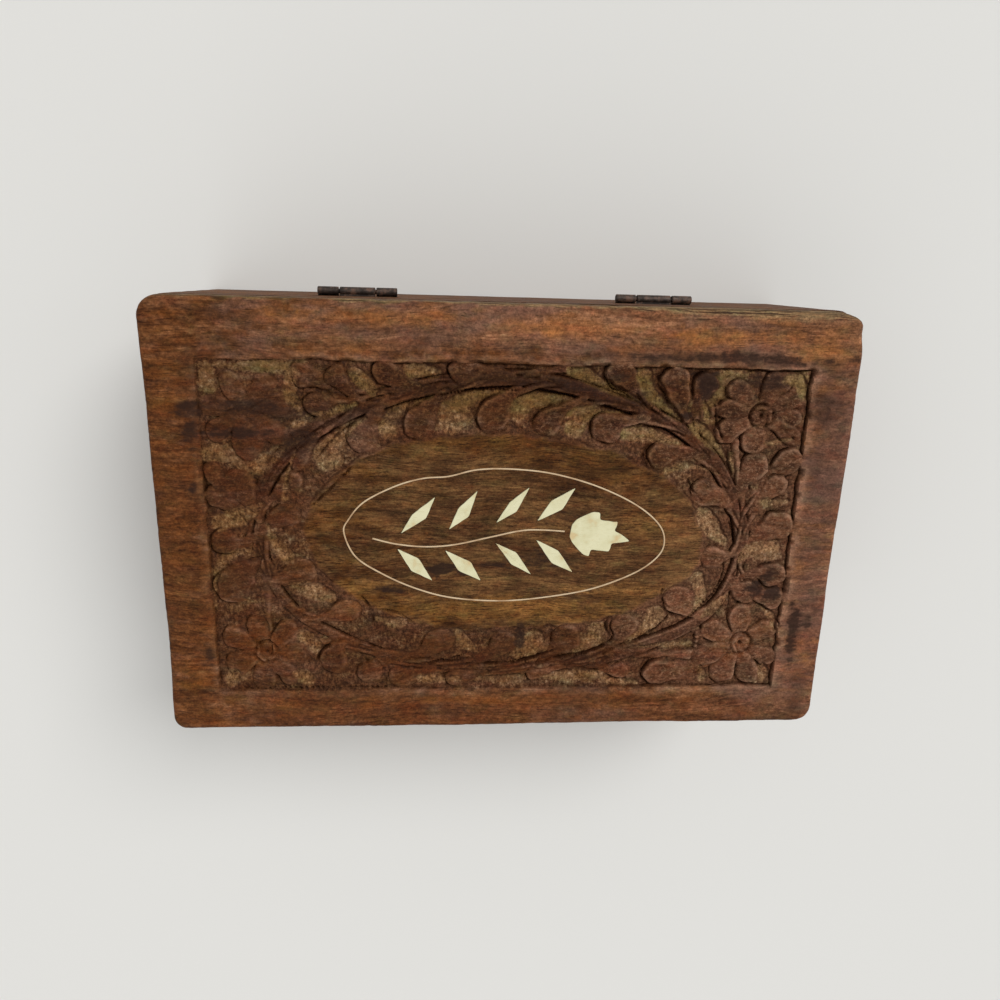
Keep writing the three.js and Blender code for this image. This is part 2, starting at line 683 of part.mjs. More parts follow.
function hinge(side) {
  const name = side < 0 ? 'hinge_left' : 'hinge_right';
  const group = new THREE.Group();
  const pin = barAlongX(pinRadius, hingeLength, [hingeX(side), hingeAxisY, hingeAxisZ]);
  group.add(toMesh(`${name}_lid_leaf`, hingeLeaf(side, true), darkMetal));
  group.add(toMesh(`${name}_box_leaf`, hingeLeaf(side, false), darkMetal));
  group.add(toMesh(`${name}_pin`, pin, darkMetal));
  screwPlaces(side, lidBottom).forEach((place, index) => {
    group.add(toMesh(`${name}_lid_screw_${index + 1}`, hingeScrewSolid(place, false), darkMetal));
  });
  screwPlaces(side, bodyHeight).forEach((place, index) => {
    group.add(toMesh(`${name}_box_screw_${index + 1}`, hingeScrewSolid(place, true), darkMetal));
  });
  return group;
}

// What is cut from a back board for both hinges: a recess for each leaf, and
// the screw holes
function hingeCuts(onLidLeaf) {
  const low = onLidLeaf ? lidBottom - cutOverrun : bodyHeight - leafThickness - leafFit;
  const high = onLidLeaf ? lidBottom + leafThickness + leafFit : bodyHeight + cutOverrun;
  const faceZ = onLidLeaf ? lidBottom : bodyHeight;
  const halfLength = hingeLength / 2 + leafFit;
  return [-1, 1].flatMap((side) => [
    block(
      [hingeX(side) - halfLength, leafFrontY - leafFit, low],
      [hingeX(side) + halfLength, halfDepth + cutOverrun, high],
    ),
    ...screwPlaces(side, faceZ).map((place) => fastenerHole(hingeScrew, screwFit, place, !onLidLeaf)),
  ]);
}

// Rim under the lid panel

function lidRim() {
  const group = new THREE.Group();
  const back = longBoard(1, lidBottom, rimTop).subtract(wasm.Manifold.union(hingeCuts(true)));
  group.add(toMesh('lid_rim_front', longBoard(-1, lidBottom, rimTop), oldWood));
  group.add(toMesh('lid_rim_back', back, oldWood));
  group.add(toMesh('lid_rim_left', sideBoard(-1, lidBottom, rimTop), oldWood));
  group.add(toMesh('lid_rim_right', sideBoard(1, lidBottom, rimTop), oldWood));
  return group;
}

// Box under the lid

const baseBlock = (grow, low, high) => block(
  [-baseHalfWidth - grow, -baseHalfDepth - grow, low],
  [baseHalfWidth + grow, baseHalfDepth + grow, high],
);

function boxBody() {
  const group = new THREE.Group();
  const rebate = baseBlock(glueLine, -cutOverrun, baseThickness + glueLine);
  const fromBelow = wasm.Manifold.union([rebate, ...nailHoles()]);
  const back = longBoard(1, 0, bodyHeight).subtract(wasm.Manifold.union(hingeCuts(false)));
  const base = baseBlock(0, 0, baseThickness).subtract(wasm.Manifold.union(nailHoles()));
  group.add(toMesh('front_wall', longBoard(-1, 0, bodyHeight).subtract(fromBelow), oldWood));
  group.add(toMesh('back_wall', back.subtract(fromBelow), oldWood));
  group.add(toMesh('left_wall', sideBoard(-1, 0, bodyHeight).subtract(fromBelow), oldWood));
  group.add(toMesh('right_wall', sideBoard(1, 0, bodyHeight).subtract(fromBelow), oldWood));
  group.add(toMesh('base_panel', base, plainWood));
  return group;
}

const carvedBox = new THREE.Group();
carvedBox.add(lidPanel());
carvedBox.add(inlay());
carvedBox.add(lidRim());
carvedBox.add(boxBody());
carvedBox.add(baseNails());
carvedBox.add(hinge(-1));
carvedBox.add(hinge(1));

export default carvedBox;
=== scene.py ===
"""An old carved wooden box with a hinged lid: the finish of every surface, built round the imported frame.

Lengths are in millimetres in the frame's axes, and new_piece() turns them into metres.
Places on the lid are shares of its half width and half depth, from its middle, and
widths on it are shares of its half depth.
"""

import math

import bpy
import numpy as np
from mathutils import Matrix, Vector


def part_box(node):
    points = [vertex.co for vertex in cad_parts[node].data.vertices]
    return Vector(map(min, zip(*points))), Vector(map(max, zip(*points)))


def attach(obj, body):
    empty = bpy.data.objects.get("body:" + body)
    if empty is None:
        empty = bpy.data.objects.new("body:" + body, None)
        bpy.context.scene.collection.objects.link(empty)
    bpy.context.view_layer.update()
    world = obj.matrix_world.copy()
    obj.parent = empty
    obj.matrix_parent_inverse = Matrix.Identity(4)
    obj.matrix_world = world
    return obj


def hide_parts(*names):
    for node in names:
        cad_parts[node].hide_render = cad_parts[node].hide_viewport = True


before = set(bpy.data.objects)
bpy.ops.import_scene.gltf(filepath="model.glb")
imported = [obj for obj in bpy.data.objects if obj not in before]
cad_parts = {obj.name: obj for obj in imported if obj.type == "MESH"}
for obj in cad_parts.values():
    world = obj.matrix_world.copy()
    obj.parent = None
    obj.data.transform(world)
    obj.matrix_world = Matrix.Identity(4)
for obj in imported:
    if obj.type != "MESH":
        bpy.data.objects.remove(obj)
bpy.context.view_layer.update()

MM = 0.001


def cad(node):
    """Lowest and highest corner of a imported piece, in millimetres"""
    low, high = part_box(node)
    return np.array(low) / MM, np.array(high) / MM


def middle_of(node):
    """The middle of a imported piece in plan"""
    low, high = cad(node)
    return (low[0] + high[0]) / 2, (low[1] + high[1]) / 2


# Sizes that the frame gives
PANEL_LOW, PANEL_HIGH = cad("lid_panel")
HALF_X, HALF_Y, LID_TOP = PANEL_HIGH
PANEL_BOTTOM = PANEL_LOW[2]
INLAY_BOTTOM = cad("inlay_flower")[0][2]
RIM_LOW, RIM_HIGH = cad("lid_rim_front")
WALL_LOW, WALL_HIGH = cad("front_wall")
SIDE_LOW, SIDE_HIGH = cad("right_wall")
BASE_LOW, BASE_HIGH = cad("base_panel")
INSIDE_X = SIDE_LOW[0]
INSIDE_Y = -WALL_HIGH[1]
SIDE_END = SIDE_HIGH[1]

# Sizes that the builder of the box chose
GLUE_LINE = 0.1
CORNER_RADIUS = 3.5
CARVING_DEPTH = 2.4
BORDER_SIDE = 11
BORDER_BACK = 12.5
BORDER_FRONT = 10
WIRE_WIDTH = 0.4
INLAY_FIT = 0.06
OVERRUN = 1.0
HINGE_NAMES = ("hinge_left", "hinge_right")

# The flat medallion in the middle of the lid
MEDALLION_SHARES = [
    (-0.583, -0.02), (-0.57, 0.1), (-0.516, 0.206), (-0.452, 0.296), (-0.335, 0.386),
    (-0.155, 0.432), (0.052, 0.432), (0.232, 0.392), (0.374, 0.316), (0.477, 0.228),
    (0.555, 0.11), (0.581, -0.04), (0.568, -0.18), (0.49, -0.296), (0.387, -0.388),
    (0.232, -0.452), (0.026, -0.472), (-0.181, -0.476), (-0.335, -0.418), (-0.452, -0.316),
    (-0.542, -0.18),
]

# The main vine round the medallion: x, y, half width
VINE_SHARES = [
    (-0.716, 0, 0.032), (-0.701, 0.16, 0.036), (-0.645, 0.31, 0.038), (-0.555, 0.44, 0.044),
    (-0.439, 0.544, 0.046), (-0.297, 0.616, 0.042), (-0.129, 0.672, 0.04), (0.026, 0.686, 0.038),
    (0.168, 0.652, 0.038), (0.323, 0.58, 0.032), (0.465, 0.492, 0.032), (0.574, 0.37, 0.034),
    (0.652, 0.2, 0.034), (0.701, 0.02, 0.036), (0.707, -0.14, 0.032), (0.668, -0.32, 0.03),
    (0.594, -0.456, 0.032), (0.477, -0.552, 0.036), (0.335, -0.628, 0.04), (0.168, -0.676, 0.038),
    (-0.013, -0.7, 0.034), (-0.194, -0.68, 0.03), (-0.361, -0.62, 0.028), (-0.503, -0.52, 0.026),
    (-0.619, -0.4, 0.024), (-0.69, -0.22, 0.026),
]

# Each stem or leaf is a stroke: tail, middle and head, then its half width at each
STEM_SHARES = [
    (-0.465, 0.52, -0.568, 0.46, -0.684, 0.45, 0.024, 0.028, 0.032),
    (0.503, 0.5, 0.555, 0.55, 0.632, 0.57, 0.024, 0.024, 0.032),
    (0.69, 0.08, 0.675, 0.24, 0.652, 0.42, 0.02, 0.016, 0.018),
    (0.71, -0.06, 0.726, 0.06, 0.733, 0.18, 0.018, 0.016, 0.022),
    (0.568, -0.48, 0.606, -0.51, 0.658, -0.53, 0.022, 0.022, 0.028),
    (0.374, -0.62, 0.49, -0.626, 0.606, -0.63, 0.024, 0.024, 0.032),
    (-0.49, -0.54, -0.568, -0.556, -0.645, -0.59, 0.024, 0.02, 0.032),
    (-0.703, -0.16, -0.697, -0.32, -0.703, -0.48, 0.022, 0.018, 0.024),
]
OUTER_LEAF_SHARES = [
    (-0.465, 0.6, -0.529, 0.66, -0.572, 0.684, 0.016, 0.044, 0.052),
    (-0.426, 0.59, -0.465, 0.65, -0.484, 0.684, 0.016, 0.036, 0.044),
    (-0.413, 0.58, -0.477, 0.566, -0.539, 0.56, 0.016, 0.036, 0.05),
    (-0.258, 0.64, -0.31, 0.67, -0.346, 0.7, 0.02, 0.044, 0.056),
    (0, 0.69, -0.09, 0.72, -0.142, 0.706, 0.02, 0.04, 0.052),
    (0.039, 0.7, 0.103, 0.72, 0.148, 0.74, 0.016, 0.024, 0.032),
    (0.394, 0.56, 0.348, 0.646, 0.307, 0.708, 0.014, 0.04, 0.064),
    (0.5, 0.52, 0.475, 0.62, 0.462, 0.688, 0.012, 0.052, 0.064),
    (0.516, 0.54, 0.542, 0.62, 0.552, 0.68, 0.012, 0.04, 0.052),
    (0.684, 0.16, 0.697, 0.24, 0.719, 0.304, 0.016, 0.044, 0.068),
    (0.742, 0.2, 0.787, 0.286, 0.819, 0.332, 0.016, 0.046, 0.062),
    (0.735, 0.09, 0.761, 0.17, 0.795, 0.216, 0.014, 0.036, 0.052),
    (0.723, -0.07, 0.768, -0.02, 0.813, 0.028, 0.014, 0.048, 0.07),
    (0.716, -0.23, 0.774, -0.212, 0.817, -0.216, 0.014, 0.04, 0.058),
    (0.69, -0.26, 0.723, -0.3, 0.746, -0.304, 0.02, 0.048, 0.06),
    (0.755, -0.3, 0.787, -0.324, 0.826, -0.332, 0.03, 0.046, 0.056),
    (-0.71, 0.04, -0.735, 0.12, -0.761, 0.206, 0.016, 0.04, 0.072),
    (-0.735, 0.08, -0.787, 0.12, -0.826, 0.156, 0.02, 0.04, 0.052),
    (-0.787, 0.18, -0.826, 0.23, -0.834, 0.272, 0.04, 0.044, 0.04),
    (-0.723, -0.03, -0.768, -0.066, -0.813, -0.056, 0.016, 0.036, 0.058),
    (-0.716, -0.14, -0.755, -0.2, -0.8, -0.27, 0.016, 0.06, 0.084),
    (0.645, -0.67, 0.555, -0.716, 0.484, -0.72, 0.032, 0.062, 0.068),
    (0.284, -0.67, 0.335, -0.708, 0.369, -0.714, 0.02, 0.032, 0.038),
    (0.181, -0.68, 0.129, -0.716, 0.09, -0.728, 0.016, 0.02, 0.026),
    (-0.052, -0.71, -0.116, -0.736, -0.15, -0.746, 0.016, 0.03, 0.038),
    (-0.219, -0.692, -0.271, -0.728, -0.315, -0.74, 0.02, 0.04, 0.054),
    (-0.323, -0.64, -0.381, -0.67, -0.405, -0.708, 0.016, 0.04, 0.06),
    (-0.477, -0.54, -0.503, -0.596, -0.512, -0.644, 0.016, 0.048, 0.066),
]
INNER_LEAF_SHARES = [
    (-0.181, 0.63, -0.232, 0.54, -0.258, 0.486, 0.016, 0.056, 0.072),
    (0.026, 0.65, -0.026, 0.58, -0.049, 0.52, 0.014, 0.052, 0.072),
    (0.206, 0.606, 0.142, 0.556, 0.103, 0.49, 0.012, 0.036, 0.06),
    (0.387, 0.526, 0.323, 0.506, 0.275, 0.472, 0.014, 0.04, 0.068),
    (0.574, 0.35, 0.497, 0.372, 0.434, 0.356, 0.016, 0.04, 0.056),
    (0.665, 0.12, 0.619, 0.166, 0.579, 0.184, 0.012, 0.048, 0.064),
    (0.7, -0.11, 0.658, -0.126, 0.622, -0.128, 0.014, 0.04, 0.058),
    (0.606, -0.44, 0.568, -0.39, 0.529, -0.336, 0.016, 0.052, 0.068),
    (0.31, -0.62, 0.355, -0.54, 0.372, -0.476, 0.014, 0.04, 0.068),
    (0.103, -0.67, 0.161, -0.596, 0.194, -0.536, 0.014, 0.044, 0.068),
    (-0.103, -0.68, -0.039, -0.61, -0.003, -0.552, 0.014, 0.04, 0.058),
    (-0.31, -0.64, -0.239, -0.6, -0.191, -0.544, 0.014, 0.04, 0.064),
    (-0.594, -0.44, -0.516, -0.42, -0.465, -0.39, 0.016, 0.04, 0.056),
    (-0.684, -0.25, -0.639, -0.226, -0.596, -0.2, 0.014, 0.048, 0.064),
    (-0.71, -0.03, -0.671, 0.04, -0.63, 0.064, 0.014, 0.044, 0.056),
    (-0.69, 0.12, -0.645, 0.18, -0.614, 0.22, 0.012, 0.032, 0.048),
    (-0.348, 0.6, -0.387, 0.5, -0.413, 0.42, 0.014, 0.04, 0.066),
    (-0.529, 0.46, -0.561, 0.37, -0.594, 0.3, 0.012, 0.026, 0.036),
]

# A flower in each corner: its middle, then each petal's x, y and half width
FLOWER_SHARES = [
    ((-0.735, 0.54), [
        (-0.826, 0.55, 0.046), (-0.813, 0.436, 0.05), (-0.729, 0.38, 0.068), (-0.652, 0.43, 0.052),
        (-0.643, 0.56, 0.056), (-0.675, 0.644, 0.05), (-0.765, 0.644, 0.054),
    ]),
    ((0.723, 0.54), [
        (0.649, 0.648, 0.052), (0.756, 0.68, 0.056), (0.815, 0.62, 0.044), (0.818, 0.528, 0.036),
        (0.818, 0.452, 0.044), (0.71, 0.424, 0.064), (0.627, 0.472, 0.056), (0.618, 0.572, 0.044),
    ]),
    ((0.742, -0.57), [
        (0.729, -0.426, 0.06), (0.648, -0.5, 0.056), (0.631, -0.628, 0.06), (0.692, -0.724, 0.06),
        (0.779, -0.724, 0.056), (0.828, -0.64, 0.05), (0.823, -0.496, 0.052),
    ]),
    ((-0.71, -0.6), [
        (-0.803, -0.52, 0.056), (-0.8, -0.656, 0.06), (-0.723, -0.736, 0.058), (-0.649, -0.72, 0.048),
        (-0.627, -0.62, 0.054), (-0.65, -0.496, 0.056), (-0.735, -0.464, 0.052),
    ]),
]
PETAL_TAIL_SHARE = 0.6
PETAL_MIDDLE_SHARE = 0.85

# How deep the ring round each flower's eye is cut, as a share of the carving depth
FLOWER_RING_SHARES = [0.08, 0.4, 0.34, 0.3]
FLOWER_EYE_SHARE = 0.054

# Hollows with pale dust, painted lighter, and painted shadow under their wall towards the light, between the
# vine and the leaves: strokes like the leaves above
HOLLOW_SHARES = [
    (-0.43, 0.565, -0.52, 0.515, -0.62, 0.46, 0.008, 0.024, 0.014),
    (-0.525, 0.44, -0.62, 0.385, -0.7, 0.285, 0.006, 0.018, 0.042),
    (-0.405, 0.505, -0.47, 0.43, -0.51, 0.34, 0.006, 0.032, 0.07),
    (-0.22, 0.605, -0.31, 0.55, -0.345, 0.46, 0.005, 0.024, 0.045),
    (-0.02, 0.635, -0.11, 0.6, -0.165, 0.5, 0.005, 0.03, 0.06),
    (-0.6, 0.36, -0.625, 0.25, -0.635, 0.15, 0.008, 0.014, 0.02),
    (-0.6, 0.69, -0.605, 0.6, -0.585, 0.53, 0.034, 0.03, 0.018),
    (-0.43, 0.69, -0.4, 0.65, -0.385, 0.61, 0.03, 0.036, 0.018),
    (-0.845, 0.34, -0.82, 0.35, -0.795, 0.335, 0.03, 0.036, 0.018),
    (-0.28, 0.71, -0.25, 0.715, -0.21, 0.7, 0.026, 0.032, 0.022),
    (0.185, 0.612, 0.08, 0.61, 0.02, 0.53, 0.004, 0.022, 0.034),
    (0.355, 0.54, 0.24, 0.545, 0.18, 0.47, 0.004, 0.018, 0.045),
    (0.165, 0.735, 0.24, 0.675, 0.36, 0.6, 0.034, 0.034, 0.008),
    (0.37, 0.71, 0.4, 0.62, 0.49, 0.51, 0.036, 0.032, 0.008),
    (0.53, 0.49, 0.57, 0.44, 0.64, 0.33, 0.03, 0.032, 0.008),
    (0.33, 0.45, 0.4, 0.445, 0.49, 0.42, 0.03, 0.034, 0.012),
    (0.46, 0.29, 0.53, 0.31, 0.62, 0.27, 0.02, 0.018, 0.005),
    (0.79, 0.7, 0.82, 0.69, 0.835, 0.63, 0.03, 0.034, 0.016),
    (0.6, 0.735, 0.65, 0.73, 0.69, 0.735, 0.014, 0.018, 0.012),
    (0.55, 0.6, 0.56, 0.56, 0.565, 0.53, 0.012, 0.02, 0.012),
    (0.745, 0.42, 0.77, 0.42, 0.82, 0.44, 0.012, 0.014, 0.01),
    (0.755, 0.14, 0.79, 0.14, 0.83, 0.15, 0.016, 0.022, 0.014),
    (0.66, 0.26, 0.655, 0.31, 0.645, 0.37, 0.006, 0.012, 0.006),
    (-0.7, 0.115, -0.76, 0.06, -0.82, 0.03, 0.01, 0.045, 0.04),
    (-0.688, 0.02, -0.665, -0.07, -0.635, -0.13, 0.008, 0.03, 0.036),
    (-0.73, -0.09, -0.8, -0.13, -0.842, -0.21, 0.014, 0.022, 0.014),
    (-0.842, -0.21, -0.848, -0.3, -0.848, -0.38, 0.014, 0.012, 0.008),
    (-0.63, -0.26, -0.57, -0.29, -0.52, -0.32, 0.014, 0.045, 0.03),
    (-0.6, -0.52, -0.575, -0.55, -0.56, -0.61, 0.03, 0.04, 0.014),
    (-0.81, -0.7, -0.815, -0.73, -0.82, -0.76, 0.02, 0.034, 0.02),
    (-0.63, -0.71, -0.6, -0.73, -0.585, -0.77, 0.02, 0.04, 0.02),
    (-0.38, -0.43, -0.34, -0.45, -0.3, -0.45, 0.014, 0.028, 0.014),
    (-0.14, -0.5, -0.12, -0.55, -0.09, -0.59, 0.02, 0.034, 0.016),
    (-0.25, -0.74, -0.2, -0.74, -0.14, -0.75, 0.02, 0.03, 0.016),
    (0.7, -0.16, 0.735, -0.095, 0.81, -0.07, 0.006, 0.03, 0.034),
    (0.565, -0.43, 0.6, -0.34, 0.58, -0.23, 0.006, 0.028, 0.036),
    (0.36, -0.58, 0.435, -0.5, 0.46, -0.42, 0.005, 0.032, 0.05),
    (0.18, -0.65, 0.265, -0.56, 0.285, -0.49, 0.005, 0.032, 0.045),
    (0.02, -0.665, 0.09, -0.58, 0.09, -0.53, 0.008, 0.036, 0.045),
    (0.61, -0.43, 0.65, -0.38, 0.685, -0.31, 0.012, 0.028, 0.008),
    (0.42, -0.585, 0.49, -0.575, 0.58, -0.575, 0.01, 0.014, 0.018),
    (0.62, -0.7, 0.63, -0.74, 0.63, -0.77, 0.01, 0.022, 0.014),
    (0.82, -0.69, 0.825, -0.73, 0.825, -0.765, 0.014, 0.032, 0.018),
    (0.13, -0.745, 0.22, -0.73, 0.29, -0.725, 0.014, 0.032, 0.016),
    (0.33, -0.765, 0.38, -0.77, 0.42, -0.775, 0.01, 0.02, 0.01),
    (0.785, -0.37, 0.825, -0.42, 0.845, -0.5, 0.01, 0.02, 0.01),
    (0.585, 0.08, 0.61, 0.02, 0.65, -0.05, 0.04, 0.045, 0.02),
]

# Deep scores: the start, the middle and the end, then how strong each is
SCORE_SHARES = [
    (-0.56, 0.11, -0.5, 0.2, -0.44, 0.3, 0.9), (-0.44, 0.3, -0.38, 0.34, -0.3, 0.37, 0.5),
    (-0.43, -0.31, -0.4, -0.38, -0.39, -0.48, 0.8), (-0.39, -0.38, -0.32, -0.4, -0.27, -0.46, 0.6),
    (-0.57, -0.68, -0.55, -0.6, -0.51, -0.54, 0.8), (-0.36, -0.78, -0.36, -0.7, -0.4, -0.62, 0.55),
    (-0.3, -0.67, -0.2, -0.655, -0.1, -0.61, 0.8), (-0.75, -0.79, -0.55, -0.785, -0.34, -0.79, 0.7),
    (0.66, -0.14, 0.65, -0.28, 0.56, -0.45, 1.0), (0.52, -0.4, 0.46, -0.5, 0.39, -0.57, 1.0),
    (0.34, -0.54, 0.29, -0.59, 0.2, -0.65, 1.0), (0.16, -0.6, 0.1, -0.63, 0, -0.67, 0.8),
    (0.63, 0.1, 0.67, 0.02, 0.69, -0.08, 0.9), (0.41, 0.72, 0.43, 0.65, 0.48, 0.55, 1.0),
    (0.26, 0.73, 0.29, 0.66, 0.35, 0.63, 0.8), (0.35, 0.64, 0.38, 0.58, 0.42, 0.54, 0.8),
    (0.58, 0.6, 0.595, 0.5, 0.62, 0.42, 1.0), (0.63, 0.4, 0.64, 0.32, 0.66, 0.26, 1.0),
    (0.52, 0.26, 0.54, 0.2, 0.575, 0.14, 0.8), (0.7, 0.12, 0.712, 0.18, 0.71, 0.23, 0.7),
    (0.4, 0.4, 0.385, 0.35, 0.4, 0.3, 0.7), (0.32, -0.42, 0.31, -0.48, 0.34, -0.55, 0.8),
    (0.48, -0.27, 0.475, -0.33, 0.51, -0.39, 0.8), (0.69, -0.28, 0.69, -0.37, 0.685, -0.44, 0.8),
    (-0.69, 0.19, -0.65, 0.3, -0.58, 0.4, 0.6), (-0.56, 0.43, -0.5, 0.49, -0.43, 0.55, 0.8),
    (-0.55, 0.31, -0.49, 0.42, -0.42, 0.5, 0.7), (-0.22, 0.6, -0.1, 0.635, 0.04, 0.635, 0.9),
    (0.06, 0.635, 0.12, 0.63, 0.19, 0.61, 0.9), (0.25, 0.57, 0.31, 0.56, 0.36, 0.54, 0.9),
]

# Inlay: the ring and the stem are wires, the leaves and the flower are plates
RING_SHARES = [
    (-0.472, -0.012), (-0.459, 0.048), (-0.413, 0.132), (-0.323, 0.206), (-0.245, 0.242),
    (-0.174, 0.252), (-0.09, 0.284), (0.013, 0.288), (0.129, 0.268), (0.258, 0.212),
    (0.374, 0.128), (0.446, 0.038), (0.468, -0.044), (0.452, -0.12), (0.387, -0.2),
    (0.265, -0.278), (0.129, -0.32), (-0.013, -0.34), (-0.161, -0.324), (-0.271, -0.276),
    (-0.368, -0.204), (-0.441, -0.124),
]
INLAY_STEM_SHARES = [
    (-0.391, -0.038), (-0.323, -0.064), (-0.239, -0.076), (-0.155, -0.066), (-0.052, -0.03),
    (0.039, 0.002), (0.103, 0.006), (0.182, -0.002),
]
INLAY_LEAF_SHARES = [
    [(-0.312, -0.018), (-0.277, 0.076), (-0.21, 0.16), (-0.236, 0.058)],
    [(-0.172, 0.004), (-0.145, 0.106), (-0.089, 0.19), (-0.114, 0.066)],
    [(-0.036, 0.036), (0.003, 0.136), (0.061, 0.208), (0.025, 0.092)],
    [(0.084, 0.046), (0.123, 0.144), (0.194, 0.206), (0.159, 0.104)],
    [(-0.321, -0.086), (-0.258, -0.132), (-0.217, -0.242), (-0.281, -0.192)],
    [(-0.183, -0.092), (-0.106, -0.148), (-0.074, -0.242), (-0.142, -0.192)],
    [(-0.036, -0.056), (0.028, -0.102), (0.075, -0.212), (0.013, -0.16)],
    [(0.083, -0.04), (0.152, -0.092), (0.199, -0.2), (0.133, -0.154)],
]
INLAY_FLOWER_SHARES = [
    (0.185, -0.002), (0.188, 0.032), (0.201, 0.058), (0.226, 0.078), (0.25, 0.094),
    (0.27, 0.09), (0.271, 0.056), (0.312, 0.046), (0.324, 0.048), (0.323, 0.03),
    (0.316, 0.004), (0.342, -0.018), (0.364, -0.046), (0.335, -0.054), (0.31, -0.058),
    (0.308, -0.076), (0.303, -0.098), (0.271, -0.092), (0.249, -0.088), (0.244, -0.122),
    (0.226, -0.112), (0.209, -0.086), (0.19, -0.052), (0.182, -0.024),
]

# Patches of colour on the lid, as soft ellipses: x, y, reach along x, reach along y, strength.
# The reach along x is a share of the half width, and along y of the half depth.
# Most are blue-black stains; the entries at (-0.6, 0.42), (-0.74, 0.55) and (-0.76, 0.43) are painted shade,
# dark bands across the worn flower at the back left
STAIN_SHARES = [
    (0.62, 0.79, 0.42, 0.032, 0.85), (0.3, 0.7, 0.045, 0.05, 0.6), (0.55, 0.68, 0.04, 0.08, 1.0),
    (0.71, 0.69, 0.09, 0.06, 0.75), (0.9, -0.5, 0.026, 0.18, 1.0), (0.94, -0.46, 0.026, 0.05, 0.7),
    (0.765, -0.286, 0.035, 0.05, 1.0), (0.801, -0.214, 0.03, 0.07, 0.85), (0.823, -0.307, 0.035, 0.05, 0.95),
    (-0.885, 0.54, 0.05, 0.05, 0.85), (-0.88, 0.43, 0.03, 0.09, 0.8), (-0.885, 0.19, 0.016, 0.028, 0.9),
    (-0.876, -0.6, 0.018, 0.09, 0.7), (-0.13, -0.205, 0.06, 0.024, 1.0), (0.06, -0.155, 0.12, 0.028, 0.7),
    (0.27, -0.02, 0.09, 0.14, 0.35), (-0.335, -0.285, 0.06, 0.018, 0.9), (0.05, -0.52, 0.022, 0.08, 0.85),
    (-0.66, 0.53, 0.2, 0.06, 0.6), (-0.64, 0.36, 0.2, 0.05, 0.55), (-0.38, 0.52, 0.14, 0.06, 0.55),
    (0, 0.68, 0.36, 0.05, 0.45), (0.36, 0.6, 0.09, 0.04, 0.6), (0.94, -0.86, 0.05, 0.22, 0.55),
    (0.93, 0.62, 0.06, 0.09, 0.5), (0.9, 0.3, 0.03, 0.1, 0.45), (0.44, -0.03, 0.03, 0.03, 0.4),
    (0.9, 0.6, 0.06, 0.16, 0.6), (-0.4, -0.42, 0.02, 0.08, 0.55), (-0.6, 0.42, 0.1, 0.05, 0.7),
    (-0.185, -0.19, 0.07, 0.035, 1.1), (-0.27, -0.185, 0.06, 0.012, 0.8), (-0.03, -0.165, 0.08, 0.012, 0.8),
    (0.14, 0.06, 0.16, 0.05, 0.5), (0.12, -0.14, 0.13, 0.06, 0.6), (-0.35, -0.28, 0.07, 0.016, 0.9),
    (-0.74, 0.55, 0.15, 0.04, 0.75), (-0.76, 0.43, 0.16, 0.03, 0.85), (0.5, 0.54, 0.02, 0.02, 1.0),
    (0.1, 0.66, 0.2, 0.03, 0.6), (0.3, 0.6, 0.14, 0.03, 0.6), (0.2, -0.64, 0.08, 0.03, 0.5),
]
WARM_SHARES = [
    (-0.56, 0.776, 0.036, 0.022, 0.9), (-0.38, 0.93, 0.28, 0.035, 0.7), (0.15, 0.9, 0.22, 0.04, 0.6),
    (0.65, 0.88, 0.28, 0.035, 0.85), (0.9, 0.84, 0.1, 0.1, 0.5), (-0.735, -0.58, 0.09, 0.1, 0.8),
    (0.71, -0.6, 0.07, 0.08, 0.6), (0.88, -0.24, 0.05, 0.1, 0.3), (0.94, -0.66, 0.03, 0.12, 0.65),
    (-0.92, -0.7, 0.05, 0.1, 0.5), (-0.93, 0.64, 0.05, 0.16, 0.4), (-0.93, 0.05, 0.04, 0.12, 0.3),
    (-0.45, -0.5, 0.1, 0.08, 0.5), (0.5, 0.42, 0.06, 0.04, 0.7), (0.64, 0.05, 0.05, 0.06, 0.5),
    (-0.3, 0.8, 0.3, 0.04, 0.3), (0.05, -0.86, 0.5, 0.04, 0.25),
]
OCHRE_SHARES = [
    (0, -0.39, 0.5, 0.07, 0.85), (-0.42, -0.33, 0.12, 0.1, 0.8), (0.35, -0.3, 0.15, 0.06, 0.5),
    (0, 0.36, 0.45, 0.05, 0.4), (-0.93, 0.9, 0.06, 0.08, 0.6), (0.03, -0.36, 0.06, 0.06, 0.9),
    (-0.9, -0.62, 0.05, 0.12, 0.7), (0.4, 0.05, 0.1, 0.12, 0.4), (-0.5, 0.1, 0.08, 0.1, 0.3),
]
DUST_SHARES = [
    (-0.69, 0.72, 0.13, 0.035, 1.0), (-0.83, 0.64, 0.022, 0.1, 1.0), (-0.81, 0.34, 0.035, 0.06, 0.9),
    (-0.74, 0.3, 0.06, 0.08, 0.8), (-0.46, 0.4, 0.07, 0.12, 0.8), (-0.35, 0.66, 0.08, 0.05, 0.7),
    (0, 0.58, 0.36, 0.09, 0.8), (0.36, 0.6, 0.1, 0.14, 0.7), (0.6, 0.62, 0.12, 0.12, 0.7),
    (0.79, -0.1, 0.05, 0.06, 0.9), (-0.79, -0.36, 0.05, 0.05, 0.7), (0.05, -0.74, 0.4, 0.035, 0.9),
    (-0.54, -0.56, 0.04, 0.05, 0.7), (0.6, 0.7, 0.1, 0.04, 0.6), (0.03, -0.58, 0.12, 0.06, 0.8),
    (0.25, -0.56, 0.06, 0.05, 0.8), (-0.68, -0.08, 0.1, 0.1, 0.5), (0.8, -0.68, 0.04, 0.08, 0.7),
    (0.66, -0.4, 0.04, 0.08, 0.5), (-0.78, -0.72, 0.04, 0.04, 0.8), (0.82, 0.7, 0.03, 0.12, 0.8),
    (0.78, 0.2, 0.05, 0.1, 0.5),
]
